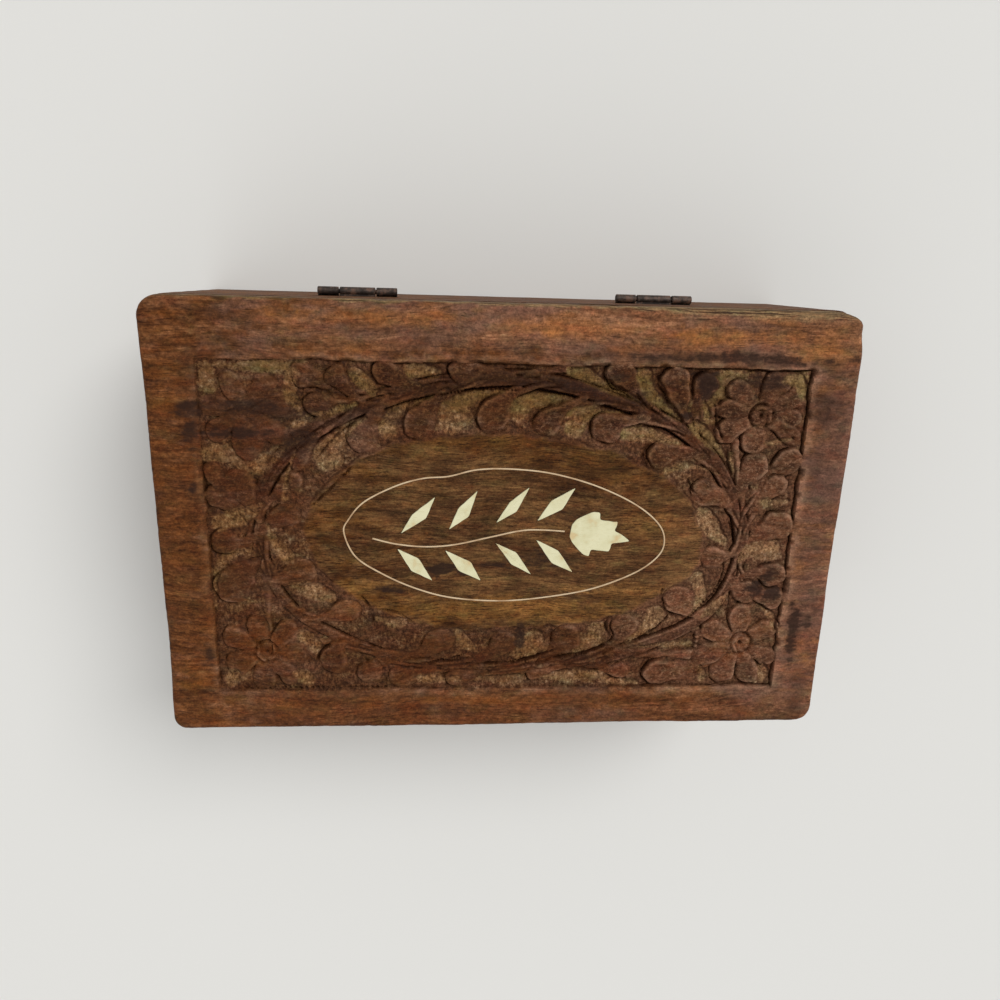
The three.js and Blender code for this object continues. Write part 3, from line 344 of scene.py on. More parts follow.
RED_SHARES = [
    (-0.75, 0.34, 0.16, 0.22, 0.8), (-0.7, 0.05, 0.18, 0.2, 0.5), (0, -0.66, 0.75, 0.1, 0.6),
    (0, -0.92, 1.0, 0.08, 0.4), (-0.55, -0.55, 0.3, 0.2, 0.5), (0.45, -0.72, 0.2, 0.06, 0.4),
    (0.2, 0.42, 0.2, 0.04, 0.5), (0.95, -0.55, 0.04, 0.1, 0.5), (0.62, 0.12, 0.05, 0.08, 0.5),
]
DUSK_SHARES = [
    (-0.62, 0.5, 0.3, 0.2, 0.85), (-0.2, 0.66, 0.5, 0.12, 0.9), (0.35, 0.62, 0.3, 0.16, 0.8),
    (0.7, 0.6, 0.2, 0.2, 0.6), (0.8, -0.2, 0.12, 0.2, 0.6), (0.7, -0.1, 0.06, 0.6, 0.5),
    (0.1, -0.6, 0.5, 0.12, 0.5), (-0.72, 0, 0.12, 0.4, 0.5), (0.76, 0.3, 0.1, 0.14, 0.4),
    (0.94, 0.3, 0.09, 0.5, 1.0), (0.94, -0.35, 0.09, 0.45, 0.9),
]
OLIVE_SHARES = [
    (0.1, 0.66, 0.9, 0.14, 0.7), (0.35, 0.62, 0.3, 0.2, 1.0), (0.6, 0.55, 0.2, 0.25, 0.9),
    (0.84, 0.7, 0.06, 0.14, 0.9), (-0.4, 0.62, 0.2, 0.15, 0.6),
]
# Where the surface is darker: painted shade most at the left and the front, with the darkening of age
AGED_AND_SHADED_SHARES = [
    (-1.15, 0, 0.8, 1.7, 1.0), (-0.1, 0.62, 0.85, 0.19, 1.0), (0.55, 0.6, 0.35, 0.22, 0.55),
    (-0.1, -0.62, 0.7, 0.2, 1.0), (-0.3, -1.05, 1.1, 0.3, 0.8), (0.28, 0.3, 0.3, 0.14, 0.8),
    (-0.5, -0.9, 0.5, 0.3, 0.9), (0.5, -1.0, 0.5, 0.15, 0.6), (-0.05, 0.42, 0.45, 0.06, 0.9),
    (0.2, -0.86, 0.5, 0.08, 0.9), (-0.4, -0.46, 0.14, 0.1, 0.8),
]
# Where hands have kept it lighter, and painted highlights along the right and the back edges, where the
# rounded wood catches the light
LIGHTER_AND_LIT_SHARES = [
    (0.62, -0.35, 0.25, 0.35, 0.8), (0.75, 0, 0.1, 0.4, 0.6), (0.5, 0, 0.06, 0.14, 1.0),
    (0.93, -0.55, 0.09, 0.3, 0.7), (0.1, 0.9, 0.3, 0.05, 0.7), (0.7, 0.86, 0.3, 0.05, 0.4),
    (0.45, -0.7, 0.25, 0.08, 0.6), (0.985, -0.4, 0.025, 0.5, 1.0), (0.985, 0.35, 0.02, 0.5, 0.9),
    (0.73, -0.62, 0.12, 0.16, 0.7), (0.72, 0.5, 0.08, 0.12, 0.7), (0, 0.97, 1.0, 0.04, 0.5),
]
PATCH_KINDS = {
    "stain": STAIN_SHARES,
    "warm": WARM_SHARES,
    "ochre": OCHRE_SHARES,
    "dust": DUST_SHARES,
    "red": RED_SHARES,
    "dusk": DUSK_SHARES,
    "aged_and_shaded": AGED_AND_SHADED_SHARES,
    "olive": OLIVE_SHARES,
    "light": LIGHTER_AND_LIT_SHARES,
}


# Repeatable noise

ROUGH_LAYERS = 3


def random_at(x, y, z, seed):
    """A repeatable value from -1 to 1 for each whole-number place"""
    mixed = (x * 374761393 + y * 668265263 + z * 1440662683 + seed * 1274126177) & 0xFFFFFFFF
    mixed = ((mixed ^ (mixed >> 13)) * 1103515245) & 0xFFFFFFFF
    mixed = (mixed ^ (mixed >> 16)) & 0xFFFF
    return mixed / 0x7FFF - 1


def noise(x, y, z=0.0, seed=0):
    """Smooth noise from -1 to 1, whose bumps are about one unit wide"""
    x, y, z = np.broadcast_arrays(*[np.asarray(values, float) for values in (x, y, z)])
    corner = [np.floor(values).astype(np.int64) for values in (x, y, z)]
    part = [values - low for values, low in zip((x, y, z), corner)]
    ease = [share * share * (3 - 2 * share) for share in part]
    total = np.zeros(x.shape)
    for step in range(8):
        across = (step & 1, step >> 1 & 1, step >> 2)
        weight = np.ones(x.shape)
        for share, high in zip(ease, across):
            weight = weight * (share if high else 1 - share)
        total += weight * random_at(*[low + high for low, high in zip(corner, across)], seed)
    return total


def rough(x, y, z=0.0, seed=0):
    """Noise with finer and fainter layers added"""
    total = 0
    for layer in range(ROUGH_LAYERS):
        total = total + noise(x * 2 ** layer, y * 2 ** layer, z * 2 ** layer, seed + layer) / 2 ** layer
    return total


def smooth(values, start, end):
    """0 before start, 1 after end, and a soft step between"""
    share = np.clip((values - start) / (end - start), 0, 1)
    return share * share * (3 - 2 * share)


def streak(distance, place, half):
    """1 where the distance is place, and fading to both sides"""
    return np.exp(-((distance - place) / half) ** 2)


def fading(distance, reach):
    """1 up to an outline, and fading beyond it"""
    return np.exp(-np.maximum(distance, 0) / reach)


def patchy(x, y, size, seed, start, end):
    """Soft patches of 1 in a ground of 0"""
    return smooth(noise(x / size, y / size, seed=seed), start, end)


def patches(shares, x, y, seed):
    """How strongly the soft, ragged ellipses cover each place"""
    ragged = 0.3 * rough(x / 4, y / 2, seed=seed) + 0.3 * rough(x / 1.8, y / 0.6, seed=seed + 40)
    cover = np.zeros(np.shape(x))
    for middle_x, middle_y, reach_x, reach_y, strength in shares:
        away_x = (x / HALF_X - middle_x) / reach_x
        away_y = (y / HALF_Y - middle_y) / reach_y
        away = np.hypot(away_x, away_y) + ragged
        cover = np.maximum(cover, strength * (1 - smooth(away, 0.35, 1.25)))
    return cover


# Curves


def on_lid(places):
    return np.array(places, float) * (HALF_X, HALF_Y)


def blended(before, start, end, after, share):
    """A Catmull-Rom step from start to end"""
    pull_out = (end - before) / 2
    pull_in = (after - start) / 2
    bend = 2 * start - 2 * end + pull_out + pull_in
    lean = -3 * start + 3 * end - 2 * pull_out - pull_in
    return ((bend * share + lean) * share + pull_out) * share + start


def open_curve(rows, steps):
    """A smooth line through rows of values, with steps between each two"""
    rows = np.asarray(rows, float)
    last = len(rows) - 1
    line = []
    for index in range(last):
        before = rows[max(index - 1, 0)]
        after = rows[min(index + 2, last)]
        for step in range(steps):
            line.append(blended(before, rows[index], rows[index + 1], after, step / steps))
    line.append(rows[last])
    return np.array(line)


def closed_curve(rows, steps):
    rows = np.asarray(rows, float)
    count = len(rows)
    line = []
    for index in range(count):
        around = [rows[(index + offset) % count] for offset in (-1, 0, 1, 2)]
        for step in range(steps):
            line.append(blended(*around, step / steps))
    return np.array(line)


# The carved face of the lid, as a height over a grid

FIELD_LOW_X = BORDER_SIDE - HALF_X
FIELD_HIGH_X = HALF_X - BORDER_SIDE
FIELD_LOW_Y = BORDER_FRONT - HALF_Y
FIELD_HIGH_Y = HALF_Y - BORDER_BACK
FINE_STEP = 0.25
PLAIN_STEP = 0.6
EDGE_STEPS = (0, 0.05, 0.15, 0.3, 0.5, 0.75, 1.05, 1.4, 1.8, 2.3, 2.8, 3.4)
LID_TRIANGLES = 190000
STROKE_STEPS = 14
VINE_STEPS = 10

GROUND_DEPTH = 0.62
DIG_DEPTH = 1.15
DIG_REACH = 1.5
STIPPLE_SIZE = 0.5
WALL_INSIDE = 0.16
WALL_OUTSIDE = 0.2
SHOULDER_DROP = 0.15
SHOULDER_REACH = 0.3
CROWN_DROP = 0.3
CROWN_REACH = 1.1
CUT_PLACE = 0.16
CUT_REACH = 0.34
NECK_SHARE = 0.8
STRAND_STEPS = ((8, 0.1), (4, 0.6))
STRAND_HALF_SHARES = (0.006, 0.011, 0.013)
EVERYWHERE = (slice(None), slice(None))

RAGGED_OUTLINE = 0.16
WAVY_OUTLINE = 0.45
CALMED_OUTLINE = 0.33
LEAF_DROP = 0.05
WORN_DROP = 0.2
DISH_DEPTH = 0.3
DISH_REACH = 1.1
SWELL_HEIGHT = 0.16
LEAN_TURN = 17.0
LEAN_SLOPE_SHARE = 0.14
HOLLOW_DEPTH = 0.7
HOLLOW_WALL = 0.7
SCORE_HALVES = (0.02, 0.14, 0.02)
SCORE_DEPTH = 0.8
SCORE_REACH = 1.2
FAR_OFF = 99.0
VINE_REACH = 9.0
VINE_DIG_SHARES = (0.85, 0.4)
VINE_DIG_REACH = 1.4
VINE_CUTS = (1.05, 0.6)
FIELD_DIG_SHARE = 0.5
FIELD_DIG_REACH = 0.9
FIELD_CUT = 0.8
FIELD_CUT_HALF = 0.34
MEDALLION_RAGGED = 0.5
MEDALLION_DROP = 0.06
MEDALLION_CUT = 0.35
EYE_REACH = 5
EYE_RING_HALF = 0.36
EYE_PIT_RADIUS = 0.55
BLUR_PASSES = 10

# The first of the seeds that each kind of shape draws its noise from
SEEDS = {
    "patch": 70, "stem": 100, "leaf": 200, "petal": 400, "eye": 500, "strand": 600, "hollow": 700,
    "inlay_flower": 700, "inlay_leaf": 710, "score": 800, "rim": 1000, "wall": 1100, "base": 1140,
    "nail": 1200,
}


def grid_lines(half, field_low, field_high):
    """Grid places from -half to half: close at the edges, closest in the carved field"""
    edge = np.array(EDGE_STEPS)
    low_border = np.arange(-half + edge[-1] + PLAIN_STEP, field_low - PLAIN_STEP, PLAIN_STEP)
    high_border = np.arange(half - edge[-1] - PLAIN_STEP, field_high + PLAIN_STEP, -PLAIN_STEP)[::-1]
    field = np.arange(field_low, field_high + FINE_STEP / 2, FINE_STEP)
    return np.concatenate([-half + edge, low_border, field, high_border, (half - edge)[::-1]])


class Carving:
    """Heights below the lid's top and marks for the finish, over the grid"""

    def __init__(self):
        self.xs = grid_lines(HALF_X, FIELD_LOW_X, FIELD_HIGH_X)
        self.ys = grid_lines(HALF_Y, FIELD_LOW_Y, FIELD_HIGH_Y)
        self.x, self.y = np.meshgrid(self.xs, self.ys)
        self.height = np.zeros(self.x.shape)
        self.dig = np.zeros(self.x.shape)
        self.crisp = crispness(self.x, self.y)
        self.marks = {
            name: np.zeros(self.x.shape)
            for name in ("cut", "leaf", "medallion", "tint", "standing", "pale", "shade", "rim")
        }

    def window(self, line, reach):
        """The part of the grid within reach of a line of x, y places"""
        low = np.searchsorted(self.xs, line[:, 0].min() - reach)
        high = np.searchsorted(self.xs, line[:, 0].max() + reach)
        near = np.searchsorted(self.ys, line[:, 1].min() - reach)
        far = np.searchsorted(self.ys, line[:, 1].max() + reach)
        return slice(near, far), slice(low, high)

    def lay(self, window, distance, top, groove, marks):
        """Stands a shape in the carving, with a V cut beside it that is groove deep"""
        cut = np.clip(1 - np.abs(distance - CUT_PLACE) / CUT_REACH, 0, 1) * groove
        below = np.maximum(self.height[window] - cut, -CARVING_DEPTH)
        wall = smooth(distance, -WALL_INSIDE, WALL_OUTSIDE)
        self.height[window] = top + (below - top) * wall
        inside = 1 - wall
        for name, old in self.marks.items():
            old[window] = old[window] * wall + marks.get(name, 0) * inside
        self.strengthen("standing", window, inside)
        # The V cut is marked dark by its depth: dirt and painted shade in it
        self.strengthen("cut", window, np.clip(cut * 1.3, 0, 0.8))

    def strengthen(self, name, window, strength):
        """Raises a mark where it isn't as strong already"""
        old = self.marks[name]
        old[window] = np.maximum(old[window], strength)


def crispness(x, y):
    """How sharp the carving still is: its left half is worn most"""
    crisp = 0.6 + 0.25 * smooth(x, -25, 35) + 0.2 * smooth(y, -5, 25) + 0.1 * rough(x / 16, y / 12, seed=19)
    return crisp - 0.35 * (1 - smooth(x, -52, -40)) * smooth(y, 8, 20)


def rectangle_distance(carving):
    """Distance out of the carved field, whose edges were cut by hand"""
    x, y = carving.x, carving.y
    wave_x = 0.22 * rough(y / 5, 0, seed=11) + 0.25 * smooth(x, 0, 1) * noise(y / 1.3, 3, seed=12)
    wave_y = 0.25 * rough(x / 7, 1, seed=13) + 0.12 * noise(x / 1.5, 5, seed=14)
    left = FIELD_LOW_X - x + wave_x
    right = x - FIELD_HIGH_X + wave_x
    front = FIELD_LOW_Y - y + wave_y
    back = y - FIELD_HIGH_Y + wave_y
    return np.maximum(np.maximum(left, right), np.maximum(front, back))


def radial_distance(carving, outline):
    """Distance out of a loop that every ray from its middle meets once"""
    middle = outline.mean(0)
    spoke = outline - middle
    angle = np.arctan2(spoke[:, 1], spoke[:, 0])
    order = np.argsort(angle)
    angle = angle[order]
    radius = np.hypot(spoke[:, 0], spoke[:, 1])[order]
    turn = 2 * math.pi
    angle = np.concatenate([angle - turn, angle, angle + turn])
    radius = np.tile(radius, 3)
    slope = np.gradient(radius, angle) / radius
    x, y = carving.x - middle[0], carving.y - middle[1]
    bearing = np.arctan2(y, x)
    away = np.hypot(x, y) - np.interp(bearing, angle, radius)
    return away / np.sqrt(1 + np.interp(bearing, angle, slope) ** 2)


def stroke_distance(carving, window, path):
    """Distance out of a stroke of round brushes, the nearest brush, and the way from it"""
    x = carving.x[window][..., None] - path[:, 0]
    y = carving.y[window][..., None] - path[:, 1]
    away = np.hypot(x, y)
    nearest = (away - path[:, 2]).argmin(-1)[..., None]
    distance = np.take_along_axis(away - path[:, 2], nearest, -1)[..., 0]
    reach = np.take_along_axis(away, nearest, -1)[..., 0] + 1e-6
    way_x = np.take_along_axis(x, nearest, -1)[..., 0] / reach
    way_y = np.take_along_axis(y, nearest, -1)[..., 0] / reach
    return distance, nearest[..., 0] / (len(path) - 1), way_x, way_y


def shouldered(distance, level):
    """A top that falls away towards its edge, and most at the edge itself"""
    inside = np.minimum(distance, 0)
    return level - SHOULDER_DROP * np.exp(inside / SHOULDER_REACH) - CROWN_DROP * np.exp(inside / CROWN_REACH)


def stroke_path(shares, halves):
    """The brushes of a stroke from its tail to its head: x, y and half width"""
    rows = np.array(shares[:6]).reshape(3, 2) * (HALF_X, HALF_Y)
    return open_curve(np.column_stack([rows, halves]), STROKE_STEPS)


class Stroke:
    """One stem, leaf or petal, with how deep its outline is cut and how low its top lies"""

    def __init__(self, shares, number, cut, lowest, marks, even=0.0):
        halves = np.array(shares[6:]) * HALF_Y * (NECK_SHARE, NECK_SHARE, 1)
        self.path = stroke_path(shares, halves)
        self.number = number
        self.cut = cut
        self.lowest = lowest
        self.marks = marks
        self.even = even
        self.chance = (1 + random_at(np.array(number), np.array(7), np.array(3), 5)) / 2

    def measure(self, carving, reach):
        window = carving.window(self.path, self.path[:, 2].max() + reach)
        distance, along, way_x, way_y = stroke_distance(carving, window, self.path)
        x, y = carving.x[window], carving.y[window]
        wavy = WAVY_OUTLINE - CALMED_OUTLINE * self.even
        ragged = RAGGED_OUTLINE * noise(x / 1.1, y / 1.1, seed=self.number)
        ragged = ragged + wavy * noise(x / 2.6, y / 2.6, seed=self.number + 9)
        leftward = smooth(-way_x - 0.25 * way_y, -0.7, 0.7)
        along = self.even + (1 - self.even) * smooth(along, 0.1, 0.8)
        return window, distance + ragged, along, leftward

    def dig_ground(self, carving):
        """Slopes the ground down to the left of the head, where the gouge met the outline"""
        window, distance, along, leftward = self.measure(carving, 4 * DIG_REACH)
        depth = self.cut * along * leftward * fading(distance, DIG_REACH)
        carving.dig[window] = np.maximum(carving.dig[window], depth)

    def carve(self, carving):
        window, distance, along, leftward = self.measure(carving, CUT_PLACE + CUT_REACH)
        x, y, crisp = carving.x[window], carving.y[window], carving.crisp[window]
        broken = patchy(x, y, 2.4, self.number + 3, -0.9, 0.3)
        # The groove is deepest, and so marked darkest, on the stroke's left, the side away from the light: a
        # real cut with painted shade in it
        groove = self.cut * crisp * along * broken * (0.25 + 0.55 * leftward) * (0.6 + 0.6 * self.chance)
        level = self.lowest * self.chance * (1 - 0.6 * along) - LEAF_DROP - WORN_DROP * (1 - crisp)
        head_x, head_y, head = self.path[-1]
        dish = DISH_DEPTH * self.chance * along * streak(distance, -head, DISH_REACH)
        swell = SWELL_HEIGHT * noise(x / 2.2, y / 2.2, seed=self.number + 5)
        turn = LEAN_TURN * self.chance
        lean = (x - head_x) * math.cos(turn) + (y - head_y) * math.sin(turn)
        lean = LEAN_SLOPE_SHARE * crisp * np.clip(lean, -head, head)
        marks = {name: value * np.clip(crisp, 0.5, 1) for name, value in self.marks.items()}
        marks["tint"] = self.chance
        top = np.minimum(shouldered(distance, level) - dish + swell + lean, 0)
        carving.lay(window, distance, top, groove, marks)
        # A thin dark line round the outline: dirt and painted shade
        outline = streak(distance, 0.05, 0.24) * (0.35 + 0.65 * broken) * smooth(along, 0.05, 0.5)
        carving.strengthen("cut", window, (0.42 + 0.4 * self.even) * outline)
        # Painted highlight: a paler rim inside each leaf's edge on its right side, which faces the light; it
        # is added to the wear mark
        rim = streak(distance, -0.5, 0.3) * (1 - leftward) * smooth(along, 0.2, 0.8)
        carving.marks["rim"][window] += crisp * rim * patchy(x, y, 1.5, self.number + 4, -0.7, 0.6)


def hollow_out(carving, shares, number):
    """Cuts a hollow down to the ground: its side towards the light is steep, with painted shadow along it,
    and the rest is marked pale for dust and painted light
    """
    path = stroke_path(shares, np.array(shares[6:]) * HALF_Y)
    window = carving.window(path, path[:, 2].max() + 1.5)
    distance, _, way_x, way_y = stroke_distance(carving, window, path)
    x, y, crisp = carving.x[window], carving.y[window], carving.crisp[window]
    distance = distance + 0.2 * noise(x / 0.8, y / 0.8, seed=number)
    distance = distance + 0.34 * noise(x / 2.2, y / 2.2, seed=number + 7)
    inside = 1 - smooth(distance, -0.35, 0.3)
    sunward = smooth(0.8 * way_x + 0.6 * way_y, -0.2, 0.9)
    wall = np.exp(np.minimum(distance, 0) / HOLLOW_WALL)
    floor = GROUND_DEPTH * (0.6 + 0.4 * crisp) + HOLLOW_DEPTH * crisp * sunward * wall
    floor = floor + 0.12 * rough(x / 1.2, y / 1.2, seed=22)
    height = carving.height[window]
    carving.height[window] = height + (np.minimum(-floor, height) - height) * inside
    for name in ("leaf", "medallion", "standing", "rim"):
        carving.marks[name][window] *= 1 - inside
    # Pale dust and painted light, but not under the wall that shades the hollow
    carving.strengthen("pale", window, inside * (1 - 0.75 * sunward * wall))
    # Painted shadow: a dark line under the wall on the side towards the light
    line = streak(distance, -0.05, 0.3) * sunward * patchy(x, y, 3, number + 3, -1, 0)
    carving.marks["cut"][window] *= 1 - inside
    carving.strengthen("cut", window, np.clip(crisp, 0, 1) * line)


def score(carving, shares, number):
    """A deep narrow cut that runs out at both ends"""
    path = stroke_path(shares, SCORE_HALVES)
    window = carving.window(path, SCORE_REACH)
    distance, along, _, _ = stroke_distance(carving, window, path)
    x, y = carving.x[window], carving.y[window]
    wobble = 0.16 * noise(x / 0.9, y / 0.9, seed=number)
    line = (1 - smooth(distance + wobble, 0.0, 0.36)) * smooth(np.minimum(along, 1 - along), -0.05, 0.2)
    line = line * shares[6] * patchy(x, y, 2.2, number + 1, -1.2, 0)
    carving.height[window] = np.maximum(carving.height[window] - SCORE_DEPTH * line, -CARVING_DEPTH)
    carving.strengthen("cut", window, line)


def petal_stroke(middle, petal, number):
    x, y, half = petal
    share = (
        *middle, (middle[0] + x) / 2, (middle[1] + y) / 2, x, y,
        half * PETAL_TAIL_SHARE, half * PETAL_MIDDLE_SHARE, half,
    )
    return Stroke(share, number, 0.7, -0.4, {"leaf": 1})


def vine_path():
    return closed_curve(np.array(VINE_SHARES) * (HALF_X, HALF_Y, HALF_Y * 0.9), VINE_STEPS)


def strand(leaf, number, path):
    """A thin stem that runs along the vine and bends out of it into a leaf's tail"""
    tail = np.array(leaf[:2]) * (HALF_X, HALF_Y)
    middle = np.array(leaf[2:4]) * (HALF_X, HALF_Y)
    nearest = np.hypot(*(path[:, :2] - tail).T).argmin()
    onward = path[(nearest + 2) % len(path), :2] - path[nearest - 2, :2]
    onward = onward / np.hypot(*onward)
    back = -1 if onward @ (middle - tail) > 0 else 1
    side = np.sign(onward[0] * (middle - tail)[1] - onward[1] * (middle - tail)[0])
    places = []
    for steps, share in STRAND_STEPS:
        index = (nearest + back * steps) % len(path)
        way = path[(index + 1) % len(path), :2] - path[index - 1, :2]
        way = way / np.hypot(*way)
        places.append(path[index, :2] + share * path[index, 2] * side * np.array([-way[1], way[0]]))
    places.append((tail + middle) / 2)
    shares = (np.array(places) / (HALF_X, HALF_Y)).ravel()
    return Stroke([*shares, *STRAND_HALF_SHARES], number, 1.1, -0.15, {"leaf": 0.85}, even=1.0)


def vine_distance(carving):
    """Distance out of the main vine, and which of its two sides a place is on"""
    path = vine_path()
    distance = np.full(carving.x.shape, FAR_OFF)
    across = np.zeros(carving.x.shape)
    for start in range(0, len(path), VINE_STEPS):
        piece = np.take(path, range(start, start + VINE_STEPS + 1), axis=0, mode="wrap")
        window = carving.window(piece, VINE_REACH)
        away, _, way_x, way_y = stroke_distance(carving, window, piece)
        nearer = away < distance[window]
        outward_x = carving.x[window] / HALF_X
        outward_y = carving.y[window] / HALF_Y
        side = np.sign(way_x * outward_x + way_y * outward_y)
        distance[window] = np.where(nearer, away, distance[window])
        across[window] = np.where(nearer, side, across[window])
    return distance, across


def carve_ground(carving, field, vine, across):
    """The sunk ground: deep beside the vine and the leaves' heads, and high elsewhere"""
    x, y = carving.x, carving.y
    beside = np.where(across < 0, *VINE_DIG_SHARES) * fading(vine, VINE_DIG_REACH)
    edge = np.minimum(FIELD_HIGH_X - x, FIELD_HIGH_Y - y)
    beside = np.maximum(beside, FIELD_DIG_SHARE * fading(edge, FIELD_DIG_REACH))
    carving.dig = np.maximum(carving.dig, beside) * np.clip(carving.crisp, 0, 1.1)
    depth = GROUND_DEPTH * (0.6 + 0.4 * carving.crisp) + DIG_DEPTH * carving.dig
    depth = depth + 0.2 * rough(x / 4, y / 4, seed=21) * (1.2 - 0.5 * carving.dig)
    stipple = noise(x / STIPPLE_SIZE, y / STIPPLE_SIZE, seed=22)
    gouged = noise(x / 0.55, y / 2.2, seed=23)
    depth = depth + 0.13 * stipple + 0.15 * gouged
    wall = smooth(field, -0.4, 0.1)
    carving.height[:] = -np.clip(depth, 0.25, CARVING_DEPTH) * (1 - wall)
    # The cut along the field's edge is deeper, and painted darker, at the right and the back, where the
    # border shades the ground: painted shadow
    deep_sides = smooth(x, 20, HALF_X) * 0.9 + smooth(y, 15, HALF_Y) * 0.3
    line = np.clip(1 - np.abs(field + 0.3) / FIELD_CUT_HALF, 0, 1)
    strength = np.clip(0.12 + deep_sides + 0.25 * rough(x / 4, y / 4, seed=24), 0, 1)
    carving.height -= line * strength * FIELD_CUT
    carving.height[:] = np.maximum(carving.height, -CARVING_DEPTH)
    carving.marks["cut"][:] = line * strength


def carve_medallion(carving):
    outline = closed_curve(on_lid(MEDALLION_SHARES), 4)
    distance = radial_distance(carving, outline)
    x, y = carving.x, carving.y
    distance = distance + MEDALLION_RAGGED * rough(x / 2.5, y / 2.5, seed=31)
    wall = smooth(distance, -0.3, 1.5)
    below = carving.height * (0.35 + 0.65 * smooth(distance, 0.5, 4.5))
    carving.height[:] = -MEDALLION_DROP * (1 - wall) + below * wall
    inside = 1 - smooth(distance, -0.4, 0.6)
    carving.marks["medallion"][:] = inside
    carving.marks["standing"][:] = inside
    shown = rough(x / 3.5, y / 3.5, seed=32) + 0.5 * smooth(y, -5, 12)
    line = streak(distance, 0.3, 0.3) * smooth(shown, 0.1, 0.9)
    carving.height -= MEDALLION_CUT * line
    carving.strengthen("cut", EVERYWHERE, 0.75 * line)


def carve_vine(carving, vine, across):
    x, y = carving.x, carving.y
    veins = streak(vine, -0.7, 0.2) * smooth(rough(x / 7, y / 7, seed=41), -0.3, 0.6)
    top = shouldered(vine, -0.1) - 0.22 * veins - 0.1 * rough(x / 5, y / 5, seed=42)
    groove = np.where(across < 0, *VINE_CUTS) * carving.crisp * patchy(x, y, 3, 43, -0.9, 0.2)
    carving.lay(EVERYWHERE, vine, top, groove, {"leaf": 0.85, "tint": 0.35})
    carving.strengthen("cut", EVERYWHERE, 0.45 * veins)
    strength = 0.25 + 0.6 * smooth(y, -12, 18) + 0.25 * smooth(x, 10, 50)
    strength = strength + 0.15 * rough(x / 6, y / 6, seed=44)
    carving.marks["shade"] = np.clip(strength, 0, 1) * (1 - smooth(vine, -0.2, 1.1))


def carve_eye(carving, middle, ring, number):
    """The ring and the pit in the middle of a flower"""
    eye = on_lid([middle])
    window = carving.window(eye, EYE_REACH)
    x, y = carving.x[window], carving.y[window]
    away = np.hypot(x - eye[0, 0], y - eye[0, 1]) + 0.14 * noise(x / 1.1, y / 1.1, seed=number)
    ring_line = streak(away, FLOWER_EYE_SHARE * HALF_Y, EYE_RING_HALF)
    ring_line = ring_line * patchy(x, y, 2, number + 1, -0.9, 0.4)
    pit = streak(away, 0, EYE_PIT_RADIUS)
    depth = ring * CARVING_DEPTH
    carving.height[window] -= depth * ring_line + depth * 1.3 * pit
    carving.strengthen("cut", window, ring * np.maximum(1.3 * ring_line, 2.2 * pit))


def wear_surface(carving):
    """Hollows, dents and open grain on what stands"""
    x, y = carving.x, carving.y
    standing = 1 - smooth(-carving.height, 0.3, 0.8)
    grain = noise(x / 6, y / 0.45, seed=51) * smooth(noise(x / 9, y / 3, seed=52), -0.2, 0.6)
    hollows = rough(x / 14, y / 9, seed=53)
    speckle = noise(x / 0.8, y / 0.5, seed=54)
    pits = smooth(noise(x / 1.7, y / 1.1, seed=55), 0.6, 0.95)
    sway = 1.2 * noise(x / 11, y / 9, seed=56)
    cracks = smooth(noise(x / 4.5, (y + sway) / 0.42, seed=57), 0.5, 0.9)
    cracks = cracks * smooth(rough(x / 12, y / 4, seed=58), -0.5, 0.6)
    relief = 0.04 * grain + 0.08 * hollows + 0.05 * speckle - 0.12 * pits - 0.13 * cracks - 0.08
    carving.height += standing * relief
    carving.strengthen("cut", EVERYWHERE, standing * (0.42 * cracks + 0.25 * pits))


def blurred(heights, passes):
    for _ in range(passes):
        heights[1:-1] = (heights[:-2] + 2 * heights[1:-1] + heights[2:]) / 4
        heights[:, 1:-1] = (heights[:, :-2] + 2 * heights[:, 1:-1] + heights[:, 2:]) / 4
    return heights


